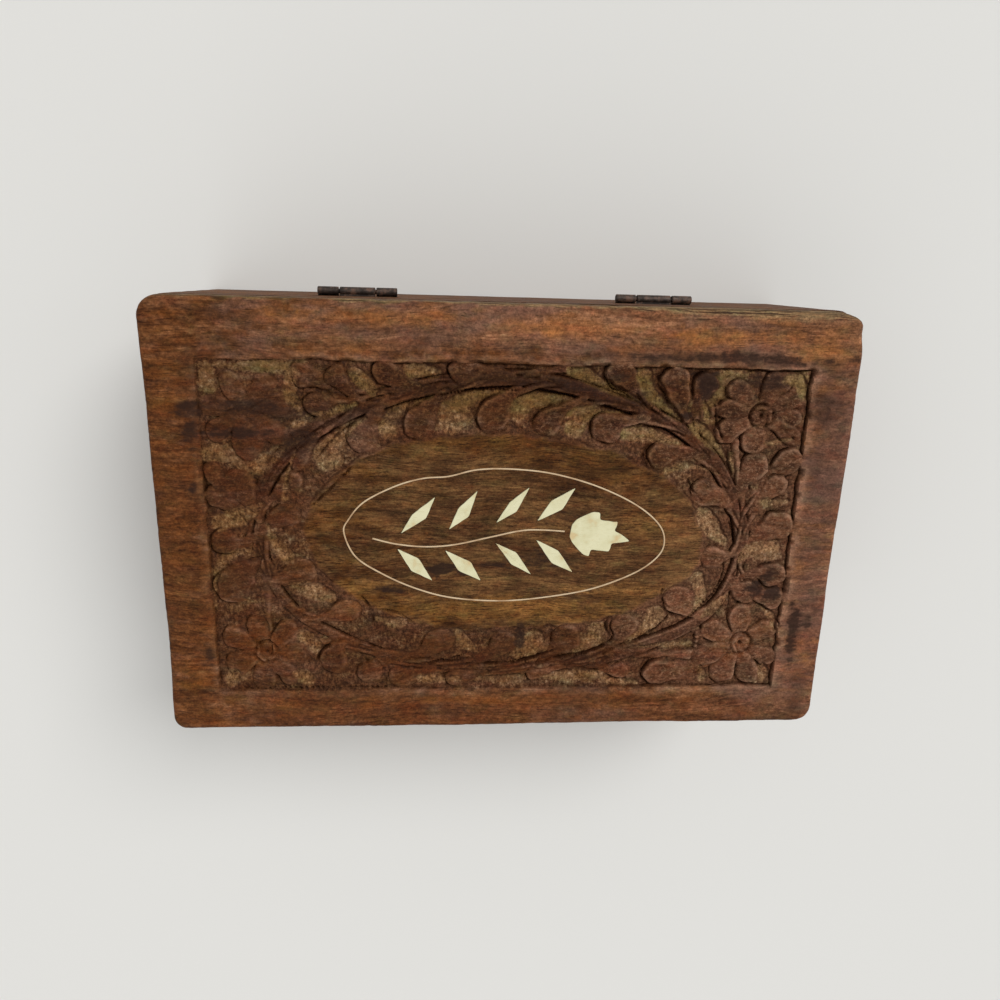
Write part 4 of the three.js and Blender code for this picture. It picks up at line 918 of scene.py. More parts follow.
def carve_lid():
    carving = Carving()
    stems = [Stroke(shares, SEEDS["stem"] + number, 0.6, -0.2, {"leaf": 0.8})
             for number, shares in enumerate(STEM_SHARES)]
    leaves = [Stroke(shares, SEEDS["leaf"] + number, 1, -0.5, {"leaf": 1})
              for number, shares in enumerate(OUTER_LEAF_SHARES + INNER_LEAF_SHARES)]
    path = vine_path()
    strands = [strand(shares, SEEDS["strand"] + number, path)
               for number, shares in enumerate(OUTER_LEAF_SHARES + INNER_LEAF_SHARES)]
    petals = [petal_stroke(middle, petal, SEEDS["petal"] + 20 * flower + number)
              for flower, (middle, places) in enumerate(FLOWER_SHARES)
              for number, petal in enumerate(places)]
    for stroke in leaves + petals:
        stroke.dig_ground(carving)
    field = rectangle_distance(carving)
    vine, across = vine_distance(carving)
    carve_ground(carving, field, vine, across)
    carve_medallion(carving)
    outside = field > -0.1
    border = carving.height.copy()
    for stroke in stems:
        stroke.carve(carving)
    carve_vine(carving, vine, across)
    for stroke in strands + leaves + petals:
        stroke.carve(carving)
    for number, shares in enumerate(HOLLOW_SHARES):
        hollow_out(carving, shares, SEEDS["hollow"] + number)
    for number, shares in enumerate(SCORE_SHARES):
        score(carving, shares, SEEDS["score"] + number)
    for number, ((middle, _), ring) in enumerate(zip(FLOWER_SHARES, FLOWER_RING_SHARES)):
        carve_eye(carving, middle, ring, SEEDS["eye"] + 2 * number)
    carving.height[outside] = border[outside]
    for name in ("leaf", "medallion", "pale", "shade", "rim"):
        carving.marks[name][outside] = 0
    wear_surface(carving)
    softened = blurred(carving.height.copy(), BLUR_PASSES)
    relief = carving.height - softened
    carving.marks["ground"] = (1 - carving.marks["standing"]) * (1 - smooth(field, -0.3, 0.0))
    carving.marks["deep"] = np.clip(carving.dig, 0, 1)
    # Darker in the hollows of the relief: dirt and painted shade
    carving.marks["cavity"] = smooth(-relief, 0.06, 0.5)
    # Lighter on worn ridges, with the painted highlights on the leaves' rims
    carving.marks["wear_and_highlight"] = np.clip(smooth(relief, 0.05, 0.4) + carving.marks.pop("rim"), 0, 1)
    del carving.marks["standing"]
    return carving


# Meshes

SHARP_DEG = 40
PANEL_SHARP_DEG = 50
PLATE_SHARP_DEG = 30
SCREW_SHARP_DEG = 35


def new_piece(name, points, faces, sharp_deg=SHARP_DEG):
    """A mesh object from points in millimetres and arrays of faces, one array for each corner count"""
    mesh = bpy.data.meshes.new(name)
    faces = [np.atleast_2d(np.asarray(group, np.int32)) for group in faces if len(group)]
    sizes = np.concatenate([np.full(len(group), group.shape[1]) for group in faces])
    corners = np.concatenate([group.ravel() for group in faces])
    starts = np.concatenate([[0], np.cumsum(sizes)[:-1]])
    mesh.vertices.add(len(points))
    mesh.vertices.foreach_set("co", (np.asarray(points) * MM).astype(np.float32).ravel())
    mesh.loops.add(len(corners))
    mesh.loops.foreach_set("vertex_index", corners)
    mesh.polygons.add(len(sizes))
    mesh.polygons.foreach_set("loop_start", starts.astype(np.int32))
    mesh.update(calc_edges=True)
    mesh.validate()
    piece = bpy.data.objects.new(name, mesh)
    bpy.context.scene.collection.objects.link(piece)
    finish_shading(piece, sharp_deg)
    return piece


def finish_shading(piece, sharp_deg=SHARP_DEG):
    """Smooth shading between sharp edges, but flat shading on a face with many corners"""
    piece.data.shade_smooth()
    piece.data.set_sharp_from_angle(angle=math.radians(sharp_deg))
    corners = np.zeros(len(piece.data.polygons), np.int32)
    piece.data.polygons.foreach_get("loop_total", corners)
    for index in np.flatnonzero(corners > 20):
        piece.data.polygons[int(index)].use_smooth = False


def modify(piece, kind, **settings):
    """Adds one modifier and keeps its result as the piece's mesh"""
    modifier = piece.modifiers.new(kind, kind)
    for name, value in settings.items():
        setattr(modifier, name, value)
    shown = piece.evaluated_get(bpy.context.evaluated_depsgraph_get())
    made = bpy.data.meshes.new_from_object(shown)
    old = piece.data
    piece.modifiers.clear()
    piece.data = made
    bpy.data.meshes.remove(old)
    made.name = piece.name


def soften(piece, width, angle_deg):
    """Rounds the edges that turn by more than an angle"""
    modify(piece, "BEVEL", width=width * MM, segments=2, limit_method="ANGLE",
           angle_limit=math.radians(angle_deg))


def combine(piece, other, operation):
    """Adds or takes away another piece, which is removed"""
    modify(piece, "BOOLEAN", operation=operation, solver="MANIFOLD", object=other)
    bpy.data.objects.remove(other)


def cut_away(piece, cutter):
    combine(piece, cutter, "DIFFERENCE")


def unite(piece, other):
    combine(piece, other, "UNION")


def joined(name, pieces):
    """One object from several, which are removed"""
    points = []
    faces = []
    count = 0
    for piece in pieces:
        mesh = piece.data
        places = np.zeros(len(mesh.vertices) * 3, np.float32)
        mesh.vertices.foreach_get("co", places)
        points.append(places.reshape(-1, 3) / MM)
        faces.extend([[corner + count for corner in face.vertices]] for face in mesh.polygons)
        count += len(mesh.vertices)
        bpy.data.objects.remove(piece)
    return new_piece(name, np.concatenate(points), faces)


def places_of(piece):
    places = np.zeros(len(piece.data.vertices) * 3, np.float32)
    piece.data.vertices.foreach_get("co", places)
    return places.reshape(-1, 3).astype(float) / MM


def move_points(piece, points):
    piece.data.vertices.foreach_set("co", (points * MM).astype(np.float32).ravel())
    piece.data.update()


def mark(piece, name, values):
    """Stores one number per vertex for the material to read"""
    attribute = piece.data.attributes.new(name, "FLOAT", "POINT")
    attribute.data.foreach_set("value", np.asarray(values, np.float32))


# The lid's panel

TOP_CORNER_REACHES = {(-1, -1): (3.2, 3.2), (1, -1): (3.6, 3.6), (-1, 1): (5.0, 4.6), (1, 1): (8.0, 3.4)}
EDGE_ROUND = 1.3
BACK_WEAR = 2.2
PANEL_ROWS = 7
PANEL_FOOT_BEVEL = 0.2
FOOT_REACH = 8
ROW_EASE_SHARE = 0.3
WEAR_CORE = 5.0
WEAR_DEPTH = 4
OUTLINE_WEAR = 0.12
OUTLINE_DENT = 0.08
SIDE_WEAR = 0.34
SIDE_WEAR_Y = (4, 25)
BACK_WEAR_X = (20, 65)
BACK_WEAR_Y = (40, 47)
MARKED_MARGIN = 0.5
PANEL_GRIME_REACH = 0.35
BOARD_GRIME_REACH = 0.3


def round_corners(x, y):
    """Bends the grid's square corners into round ones"""
    x = x.copy()
    y = y.copy()
    for (side_x, side_y), (reach_x, reach_y) in TOP_CORNER_REACHES.items():
        across = (x * side_x - HALF_X + reach_x) / reach_x
        along = (y * side_y - HALF_Y + reach_y) / reach_y
        here = (across > 0) & (along > 0)
        across, along = across[here], along[here]
        reach = np.maximum(across, along)
        lean = np.minimum(across, along) / reach * math.pi / 4
        angle = np.where(across >= along, lean, math.pi / 2 - lean)
        x[here] = side_x * (HALF_X - reach_x + reach_x * reach * np.cos(angle))
        y[here] = side_y * (HALF_Y - reach_y + reach_y * reach * np.sin(angle))
    return x, y


def pull_in(x, y, z, depth_from_edge):
    """Wears the outline in a little, unevenly, never outwards"""
    core_x = np.clip(x, WEAR_CORE - HALF_X, HALF_X - WEAR_CORE)
    core_y = np.clip(y, WEAR_CORE - HALF_Y, HALF_Y - WEAR_CORE)
    way_x, way_y = x - core_x, y - core_y
    reach = np.hypot(way_x, way_y) + 1e-6
    amount = OUTLINE_WEAR * (1 + rough(x / 11, y / 11, z / 5, seed=61)) / 2
    amount = amount + OUTLINE_DENT * smooth(noise(x / 2.5, y / 2.5, z / 2, seed=62), 0.35, 0.9)
    amount = amount + SIDE_WEAR * (np.abs(way_x) / reach) * smooth(HALF_Y - np.abs(y), *SIDE_WEAR_Y)
    amount = amount * np.exp(-depth_from_edge / WEAR_DEPTH)
    return x - way_x / reach * amount, y - way_y / reach * amount


def edge_radius(x, y):
    """How far the top edge is rounded: most along the right half of the back"""
    worn_back = smooth(x, *BACK_WEAR_X) * smooth(y, *BACK_WEAR_Y)
    uneven = 1 + 0.3 * rough(x / 13, y / 13, seed=63)
    return (EDGE_ROUND + BACK_WEAR * worn_back) * np.clip(uneven, 0.6, 1.5)


def boundary(columns, rows):
    """The grid's outer vertices, counter-clockwise from the front left"""
    front = np.arange(columns - 1)
    right = np.arange(rows - 1) * columns + columns - 1
    back = (rows - 1) * columns + np.arange(columns - 1, 0, -1)
    left = np.arange(rows - 1, 0, -1) * columns
    return np.concatenate([front, right, back, left])


def stacked_rings(first, count, rings):
    """Quads between each ring of vertices and the next lower one"""
    index = np.arange(count)
    following = (index + 1) % count
    quads = []
    for ring in range(rings - 1):
        upper = first + ring * count
        lower = upper + count
        quads.append(np.stack([lower + index, lower + following, upper + following, upper + index], 1))
    return np.concatenate(quads)


def stack(name, rings, sharp_deg=SHARP_DEG):
    """A solid made of rings of points from its top down, closed at both ends"""
    count = len(rings[0])
    top = np.arange(count)[None]
    bottom = (top + (len(rings) - 1) * count)[:, ::-1]
    faces = [top, stacked_rings(0, count, len(rings)), bottom]
    return new_piece(name, np.concatenate(rings), faces, sharp_deg)


def lid_panel_mesh(carving):
    rows, columns = carving.x.shape
    edge_distance = np.minimum(HALF_X - np.abs(carving.x), HALF_Y - np.abs(carving.y))
    x, y = round_corners(carving.x, carving.y)
    radius = edge_radius(x, y)
    share = np.clip(1 - edge_distance / radius, 0, 1)
    drop = radius * (1 - np.sqrt(1 - share ** 2))
    z = LID_TOP + carving.height - drop
    x, y = pull_in(x, y, z, edge_distance)
    points = [np.stack([x.ravel(), y.ravel(), z.ravel()], 1)]
    ring = boundary(columns, rows)
    rim = points[0][ring]
    for step in range(1, PANEL_ROWS + 1):
        eased = smooth(np.array(step / PANEL_ROWS), 0, 1)
        down = ROW_EASE_SHARE * eased + (1 - ROW_EASE_SHARE) * step / PANEL_ROWS
        level = rim[:, 2] + (PANEL_BOTTOM + PANEL_FOOT_BEVEL - rim[:, 2]) * down
        ring_x, ring_y = pull_in(rim[:, 0], rim[:, 1], level, np.zeros(len(ring)))
        points.append(np.stack([ring_x, ring_y, level], 1))
    foot = points[-1].copy()
    way = np.stack([np.sign(foot[:, 0]), np.sign(foot[:, 1])], 1)
    foot[:, :2] -= way * PANEL_FOOT_BEVEL * (np.abs(foot[:, :2]) > (HALF_X - FOOT_REACH, HALF_Y - FOOT_REACH))
    foot[:, 2] = PANEL_BOTTOM
    points.append(foot)
    index = np.arange(rows * columns).reshape(rows, columns)
    top = np.stack([index[:-1, :-1], index[:-1, 1:], index[1:, 1:], index[1:, :-1]], -1).reshape(-1, 4)
    count = len(ring)
    first = rows * columns
    below = stacked_rings(first, count, PANEL_ROWS + 1)
    order = np.arange(count)
    following = (order + 1) % count
    join = np.stack([first + order, first + following, ring[following], ring[order]], 1)
    last = first + PANEL_ROWS * count
    bottom = (last + order)[::-1][None]
    return new_piece("carved_lid_panel", np.concatenate(points), [top, join, below, bottom])


def lid_panel():
    carving = carve_lid()
    piece = lid_panel_mesh(carving)
    triangles = 2 * carving.x.size
    if triangles > LID_TRIANGLES:
        modify(piece, "DECIMATE", ratio=LID_TRIANGLES / triangles)
    pockets = inlay_solids(INLAY_FIT, INLAY_BOTTOM - INLAY_FIT, LID_TOP + OVERRUN, 0)
    cut_away(piece, joined("inlay_pockets", pockets))
    finish_shading(piece, PANEL_SHARP_DEG)
    x, y, z = places_of(piece).T
    on_top = z > LID_TOP - CARVING_DEPTH - MARKED_MARGIN
    column = np.interp(x, carving.xs, np.arange(len(carving.xs)))
    row = np.interp(y, carving.ys, np.arange(len(carving.ys)))
    for name, values in carving.marks.items():
        mark(piece, name, sampled(values, row, column) * on_top)
    for number, (name, shares) in enumerate(PATCH_KINDS.items()):
        mark(piece, name, patches(shares, x, y, SEEDS["patch"] + number) * on_top)
    mark(piece, "grime", np.exp(-(z - PANEL_BOTTOM) / PANEL_GRIME_REACH))
    # A band along the back edge, widest where it is rounded most: worn wood and painted shade
    from_back = HALF_Y - y + 0.4 * rough(x / 3, y / 1.5, seed=90)
    worn_width = 0.7 + 2.0 * smooth(x, 10, 70)
    mark(piece, "edge", 1 - smooth(from_back, 0.4 * worn_width, worn_width))
    return piece


def sampled(values, row, column):
    """Grid values at places between the grid's lines"""
    low_row = np.clip(np.floor(row).astype(int), 0, values.shape[0] - 2)
    low_column = np.clip(np.floor(column).astype(int), 0, values.shape[1] - 2)
    up = row - low_row
    over = column - low_column
    near = values[low_row, low_column] * (1 - over) + values[low_row, low_column + 1] * over
    far = values[low_row + 1, low_column] * (1 - over) + values[low_row + 1, low_column + 1] * over
    return near * (1 - up) + far * up


# Inlay

INLAY_BEVEL = 0.06
THINNEST_BEVEL = 0.001
INLAY_STEP = 0.45
INLAY_WAVE = 0.04
INLAY_PROUD = 0.03
WIRE_STEPS = 8
WIRE_SHOWN = 0.84


def unit(vectors):
    return vectors / np.linalg.norm(vectors, axis=1, keepdims=True)


def plan_area(points):
    x, y = points.T
    return (x * np.roll(y, -1) - np.roll(x, -1) * y).sum() / 2


def turned_left(points):
    """The outline, counter-clockwise"""
    return points if plan_area(points) > 0 else points[::-1]


def outward(points):
    """The way out of a counter-clockwise outline at each point"""
    along = unit(np.roll(points, -1, 0) - np.roll(points, 1, 0))
    return np.stack([along[:, 1], -along[:, 0]], 1)


def grown(points, distance):
    """A closed outline moved outwards, with mitred corners"""
    turn = 1 if plan_area(points) > 0 else -1
    into = unit(points - np.roll(points, 1, 0))
    out = np.roll(into, -1, 0)
    side = np.stack([into[:, 1] + out[:, 1], -into[:, 0] - out[:, 0]], 1) * turn
    reach = distance / (1 + (into * out).sum(1, keepdims=True))
    return points + side * reach


def subdivided(points, step):
    """A closed outline with no two points further apart than step"""
    line = []
    for start, end in zip(points, np.roll(points, -1, 0)):
        count = max(1, math.ceil(np.linalg.norm(end - start) / step))
        line.extend(start + (end - start) * part / count for part in range(count))
    return np.array(line)


def rectangle(start, end):
    """The corners of a rectangle between two opposite ones"""
    return np.array([(start[0], start[1]), (end[0], start[1]), (end[0], end[1]), (start[0], end[1])])


def plate(name, outline, low, high, bevel):
    """A flat plate with a softened top edge"""
    outline = turned_left(outline)
    rings = [(outline, high), (outline, low)]
    if bevel:
        rings = [(grown(outline, -bevel), high), (grown(outline, -bevel / 3), high - bevel / 2),
                 (outline, high - bevel * 1.3), (outline, low)]
    levelled = [np.column_stack([ring, np.full(len(ring), level)]) for ring, level in rings]
    return stack(name, levelled, PLATE_SHARP_DEG)


def wire(name, path, closed, half, low, high, bevel):
    """A flat wire laid on edge along a path"""
    ahead = np.roll(path, -1, 0)
    behind = np.roll(path, 1, 0)
    if not closed:
        ahead[-1] = path[-1]
        behind[0] = path[0]
    along = unit(ahead - behind)
    side = np.stack([-along[:, 1], along[:, 0]], 1)
    soft = max(bevel, THINNEST_BEVEL)
    section = [(half, low), (half, high - soft), (half - soft, high), (soft - half, high),
               (-half, high - soft), (-half, low)]
    count = len(section)
    points = np.array([
        (*(place + side[index] * offset), level)
        for index, place in enumerate(path) for offset, level in section
    ])
    spans = len(path) if closed else len(path) - 1
    quads = []
    for span in range(spans):
        start = span * count
        end = (span + 1) % len(path) * count
        for corner in range(count):
            following = (corner + 1) % count
            quads.append((start + corner, end + corner, end + following, start + following))
    faces = [quads]
    if not closed:
        faces.append([list(range(count))])
        faces.append([list(range(len(points) - 1, len(points) - count - 1, -1))])
    return new_piece(name, points, faces, PLATE_SHARP_DEG)


def hand_sawn(outline, seed):
    """An outline with the small waves of a saw, and its corners a little blunt"""
    outline = subdivided(outline, INLAY_STEP)
    near = (np.roll(outline, 1, 0) + 2 * outline + np.roll(outline, -1, 0)) / 4
    waves = INLAY_WAVE * noise(near[:, 0] / 1.1, near[:, 1] / 1.1, seed=seed)
    return near + outward(near) * (waves - INLAY_WAVE)[:, None]


def inlay_solids(grow, low, high, bevel):
    """The ring, the stem, the flower and the leaves, each grown by the same amount"""
    half = WIRE_SHOWN * WIRE_WIDTH / 2 + grow
    ring = closed_curve(on_lid(RING_SHARES), WIRE_STEPS)
    stem = open_curve(on_lid(INLAY_STEM_SHARES), WIRE_STEPS)
    flower = hand_sawn(turned_left(on_lid(INLAY_FLOWER_SHARES)), SEEDS["inlay_flower"])
    solids = [
        wire("inlay_wire_ring", ring, True, half, low, high, bevel),
        wire("inlay_wire_stem", stem[:-2], False, half, low, high, bevel),
        plate("inlay_bone_flower", grown(flower, grow), low, high, bevel),
    ]
    for index, corners in enumerate(INLAY_LEAF_SHARES):
        outline = hand_sawn(turned_left(on_lid(corners)), SEEDS["inlay_leaf"] + index)
        solids.append(plate(f"inlay_bone_leaf_{index + 1}", grown(outline, grow), low, high, bevel))
    return solids


# Boards

ARC_STEPS = 6
SMALL_ARC_STEPS = 2
BEVEL_STEPS = 4
ROW_STEP = 2.0
OUTLINE_STEP = 2.5
END_MARGIN = 0.4
GLUED_BEVEL = 0.15
FREE_BEVEL = 0.55
UNEVEN_SHARE = 0.35
BEVEL_REACH_SHARE = 1.6
BEVEL_MARGIN = 0.1
BOARD_WEAR = 0.07
BOARD_DENT = 0.12


def rounded(corners, radii, glued):
    """A closed outline with its right-angled corners rounded, and how far each point can go in"""
    corners = np.array(corners, float)
    count = len(corners)
    points = []
    room = []
    for index in range(count):
        corner = corners[index]
        back = corners[index - 1] - corner
        ahead = corners[(index + 1) % count] - corner
        back_length, ahead_length = np.linalg.norm(back), np.linalg.norm(ahead)
        back, ahead = back / back_length, ahead / ahead_length
        radius = radii[index]
        arc_steps = ARC_STEPS if radius > GLUED_BEVEL else SMALL_ARC_STEPS
        middle = corner + (back + ahead) * radius
        for step in range(arc_steps + 1):
            angle = math.pi / 2 * step / arc_steps
            points.append(middle - ahead * radius * math.cos(angle) - back * radius * math.sin(angle))
            room.append(radius)
        next_radius = radii[(index + 1) % count]
        run = ahead_length - radius - next_radius
        steps = max(2, math.ceil(run / OUTLINE_STEP))
        margin = min(END_MARGIN, run / 4)
        stops = [margin, *(run * step / steps for step in range(1, steps)), run - margin]
        for gone in stops:
            points.append(corner + ahead * (radius + gone))
            free = min(radius + gone, next_radius + run - gone)
            room.append(min(free, GLUED_BEVEL) if glued[index] else free)
    return np.array(points), np.array(room)


def edge_rings(face, inward, reach):
    """Rings of a rounded edge from a face on: how far in each lies, and its level"""
    angles = [math.pi / 2 * step / BEVEL_STEPS for step in range(BEVEL_STEPS + 1)]
    return [
        (reach * (1 - math.sin(angle)), face + inward * reach * (1 - math.cos(angle)))
        for angle in angles
    ]


def board(name, corners, radii, glued, low, high, low_bevel, high_bevel, seed):
    """A board with softened, slightly uneven edges, made of rings from its top down"""
    if plan_area(np.array(corners, float)) < 0:
        corners = corners[::-1]
        radii = radii[::-1]
        glued = glued[-2::-1] + glued[-1:]
    outline, room = rounded(corners, radii, glued)
    way = outward(outline)
    uneven = 1 + UNEVEN_SHARE * rough(outline[:, 0] / 9, outline[:, 1] / 9, seed=seed)
    rings = edge_rings(high, -1, np.minimum(high_bevel * uneven, room))
    top_end = high - BEVEL_REACH_SHARE * high_bevel - BEVEL_MARGIN
    low_end = low + BEVEL_REACH_SHARE * low_bevel + BEVEL_MARGIN
    rows = max(2, math.ceil((top_end - low_end) / ROW_STEP))
    for step in range(rows + 1):
        level = top_end + (low_end - top_end) * step / rows
        rings.append((np.zeros(len(outline)), np.full(len(outline), level)))
    rings.extend(edge_rings(low, 1, np.minimum(low_bevel * uneven, room))[::-1])
    points = []
    for inset, level in rings:
        x, y = (outline - way * inset[:, None]).T
        worn = BOARD_WEAR * (1 + rough(x / 7, y / 7, level / 5, seed=seed + 1)) / 2
        dents = BOARD_DENT * smooth(noise(x / 2.6, y / 2.6, level / 2.2, seed=seed + 2), 0.5, 1)
        inward = np.minimum(inset + np.clip(worn, 0, 1) + dents, 0.8 * room)
        moved = outline - way * inward[:, None]
        points.append(np.column_stack([moved, level]))
    return stack(name, points)


def long_board(name, side, low, high, low_bevel, high_bevel, seed):
    shoulder = INSIDE_X - GLUE_LINE
    lap = SIDE_END + GLUE_LINE
    corners = [
        (-HALF_X, side * HALF_Y), (HALF_X, side * HALF_Y), (HALF_X, side * lap), (shoulder, side * lap),
        (shoulder, side * INSIDE_Y), (-shoulder, side * INSIDE_Y), (-shoulder, side * lap),
        (-HALF_X, side * lap),
    ]
    radii = [CORNER_RADIUS, CORNER_RADIUS] + [GLUED_BEVEL] * 6
    glued = [False, False, True, True, False, True, True, False]
    return board(name, corners, radii, glued, low, high, low_bevel, high_bevel, seed)


def side_board(name, side, low, high, low_bevel, high_bevel, seed):
    corners = rectangle((side * INSIDE_X, -SIDE_END), (side * HALF_X, SIDE_END))
    glued = [True, False, True, False]
    return board(name, corners, [GLUED_BEVEL] * 4, glued, low, high, low_bevel, high_bevel, seed)


def block(name, low, high):
    """A plain block, for cutting or for adding"""
    return plate(name, rectangle(low, high), low[2], high[2], 0)


# Hinges and fasteners

TURNED_SIDES = 32
LEAF_THICKNESS = 0.5
LEAF_FIT = 0.1
LEAF_CLEAR = 0.3
LEAF_BEVEL = 0.05
LEAF_BEVEL_DEG = 50
BARREL_RADIUS = 0.95
PIN_RADIUS = 0.5
PIN_FIT = 0.1
PIN_SOFT = 0.15
MIDDLE_KNUCKLE = 8.0
KNUCKLE_GAP = 0.3
KNUCKLE_SOFT = 0.12
SCREW_HEAD_RADIUS = 1.3
SCREW_SHANK_RADIUS = 0.7
SCREW_LENGTH = 7.0
SCREW_POINT = 2.0
SCREW_FIT = 0.1
SCREW_EDGE = 0.06
SCREW_EDGE_HEIGHT = 0.05
SLOT_WIDTH = 0.4
SLOT_DEPTH = 0.3
NAIL_HEAD_RADIUS = 1.1
NAIL_HEAD_HEIGHT = 0.6
NAIL_SHANK_RADIUS = 0.6
NAIL_DOME = 0.03
NAIL_DOME_RADIUS = 0.5
NAIL_EDGE = 0.12
NAIL_EDGE_DROP = 0.01
NAIL_DENT = 0.04
NAIL_SUNK = 0.02
NAIL_LENGTH = 12.0
NAIL_POINT = 1.4
NAIL_FIT = 0.1

# The slots of the screws point different ways
SLOT_TURN_DEG = 37
FIRST_SLOTS_DEG = {True: 20, False: 65}

# The level of a leaf's lower face, for the lid's leaf and for the box's
LEAF_LEVELS = {True: RIM_LOW[2], False: WALL_HIGH[2] - LEAF_THICKNESS}

# Half outlines of a screw and a nail: radius and height, from the head to the point
SCREW_PROFILE = [
    (0, 0), (SCREW_HEAD_RADIUS - SCREW_EDGE, 0), (SCREW_HEAD_RADIUS, SCREW_EDGE_HEIGHT),
    (SCREW_SHANK_RADIUS, LEAF_THICKNESS), (SCREW_SHANK_RADIUS, SCREW_LENGTH - SCREW_POINT), (0, SCREW_LENGTH),
]
NAIL_PROFILE = [
    (0, -NAIL_DOME), (NAIL_DOME_RADIUS, NAIL_EDGE_DROP - NAIL_DOME), (NAIL_HEAD_RADIUS - NAIL_EDGE, 0),
    (NAIL_HEAD_RADIUS, NAIL_EDGE), (NAIL_SHANK_RADIUS, NAIL_HEAD_HEIGHT),
    (NAIL_SHANK_RADIUS, NAIL_LENGTH - NAIL_POINT), (0, NAIL_LENGTH),
]


def lathe(name, profile, place, down=False):
    """A turned piece along Z from radius and height, from one end on the axis to the other"""
    sign = -1 if down else 1
    sides = TURNED_SIDES
    inner = profile[1:-1]
    points = [(0, 0, sign * profile[0][1])]
    for radius, height in inner:
        for side in range(sides):
            angle = sign * 2 * math.pi * side / sides
            points.append((radius * math.cos(angle), radius * math.sin(angle), sign * height))
    points.append((0, 0, sign * profile[-1][1]))
    last = len(points) - 1
    index = np.arange(sides)
    following = (index + 1) % sides
    first = np.stack([np.zeros(sides, int), 1 + following, 1 + index], 1)
    start = 1 + (len(inner) - 1) * sides
    end = np.stack([start + index, start + following, np.full(sides, last)], 1)
    quads = []
    for ring in range(len(inner) - 1):
        here = 1 + ring * sides
        there = here + sides
        quads.append(np.stack([here + index, here + following, there + following, there + index], 1))
    return new_piece(name, np.array(points) + place, [first, np.concatenate(quads), end])


def bar(name, radius, start, end, centre, soft=0.0):
    """A round bar along X with softened ends"""
    turned = [(0, start), (radius - soft, start), (radius, start + soft), (radius, end - soft),
              (radius - soft, end), (0, end)]
    if not soft:
        turned = [(0, start), (radius, start), (radius, end), (0, end)]
    piece = lathe(name, turned, (0, 0, 0))
    points = places_of(piece)
    move_points(piece, np.column_stack([points[:, 2], points[:, 0] + centre[0], points[:, 1] + centre[1]]))
    return piece


def hole_profile(head, shank, head_height, length, fit):
    """Open well past the face of the head"""
    return [(0, -OVERRUN), (head + fit, -OVERRUN), (head + fit, 0), (shank + fit, head_height + fit),
            (shank + fit, length + fit), (0, length + fit)]


def screw_hole(name, place, down):
    profile = hole_profile(SCREW_HEAD_RADIUS, SCREW_SHANK_RADIUS, LEAF_THICKNESS, SCREW_LENGTH, SCREW_FIT)
    return lathe(name, profile, place, down)


def screw(name, node, down, turn_deg):
    """A countersunk screw with its slot turned its own way"""
    low, high = cad(node)
    face = high[2] if down else low[2]
    place = (*middle_of(node), face)
    piece = lathe(name, SCREW_PROFILE, place, down)
    reach = SCREW_HEAD_RADIUS + OVERRUN
    depth = -SLOT_DEPTH if down else SLOT_DEPTH
    levels = sorted([face + depth, face - 3 * depth])
    corners = rectangle((-reach, -SLOT_WIDTH / 2), (reach, SLOT_WIDTH / 2))
    turn = math.radians(turn_deg)
    spin = np.array([(math.cos(turn), math.sin(turn)), (-math.sin(turn), math.cos(turn))])
    slot = plate("slot_cutter", corners @ spin + place[:2], *levels, 0)
    cut_away(piece, slot)
    finish_shading(piece, SCREW_SHARP_DEG)
    return piece


def hinge_leaf(name, node, pin_node, screws, on_lid_leaf):
    """A leaf with its knuckles rolled round the pin, bored and countersunk"""
    start, end, axis = pin_span(pin_node)
    middle = middle_of(node if on_lid_leaf else pin_node)[0]
    foot = LEAF_LEVELS[on_lid_leaf]
    face = foot if on_lid_leaf else foot + LEAF_THICKNESS
    back = axis[0] - BARREL_RADIUS - LEAF_CLEAR
    leaf = block(name, (start, cad(node)[0][1], foot), (end, back, foot + LEAF_THICKNESS))
    half = MIDDLE_KNUCKLE / 2
    spans = [(middle - half, middle + half)]
    if not on_lid_leaf:
        spans = [(start, middle - half - KNUCKLE_GAP), (middle + half + KNUCKLE_GAP, end)]
    for span_start, span_end in spans:
        tab_low = (span_start, back - OVERRUN, foot)
        tab_high = (span_end, axis[0], foot + LEAF_THICKNESS)
        unite(leaf, block("tab", tab_low, tab_high))
        unite(leaf, bar("knuckle", BARREL_RADIUS, span_start, span_end, axis, soft=KNUCKLE_SOFT))
    cut_away(leaf, bar("bore", PIN_RADIUS + PIN_FIT, start - OVERRUN, end + OVERRUN, axis))
    for screw_node in screws:
        cut_away(leaf, screw_hole("countersink", (*middle_of(screw_node), face), not on_lid_leaf))
    soften(leaf, LEAF_BEVEL, LEAF_BEVEL_DEG)
    finish_shading(leaf)
    return leaf


def pin_span(node):
    """Where a pin starts and ends along X, and where its axis runs in Y and Z"""
    low, high = cad(node)
    return low[0], high[0], ((low[1] + high[1]) / 2, (low[2] + high[2]) / 2)


def hinge_pin(name, node):
    return bar(name, PIN_RADIUS, *pin_span(node), soft=PIN_SOFT)


def nail(name, node, seed):
    """A nail with a hammered, slightly domed head"""
    face = cad(node)[0][2]
    piece = lathe(name, NAIL_PROFILE, (*middle_of(node), face + NAIL_SUNK))
    points = places_of(piece)
    x, y, z = points.T
    dent = NAIL_DENT * noise(x * 1.5, y * 1.5, z, seed=seed)
    points[:, 2] += np.where(z < face + NAIL_HEAD_HEIGHT / 2, np.maximum(dent, 0), 0)
    move_points(piece, points)
    return piece


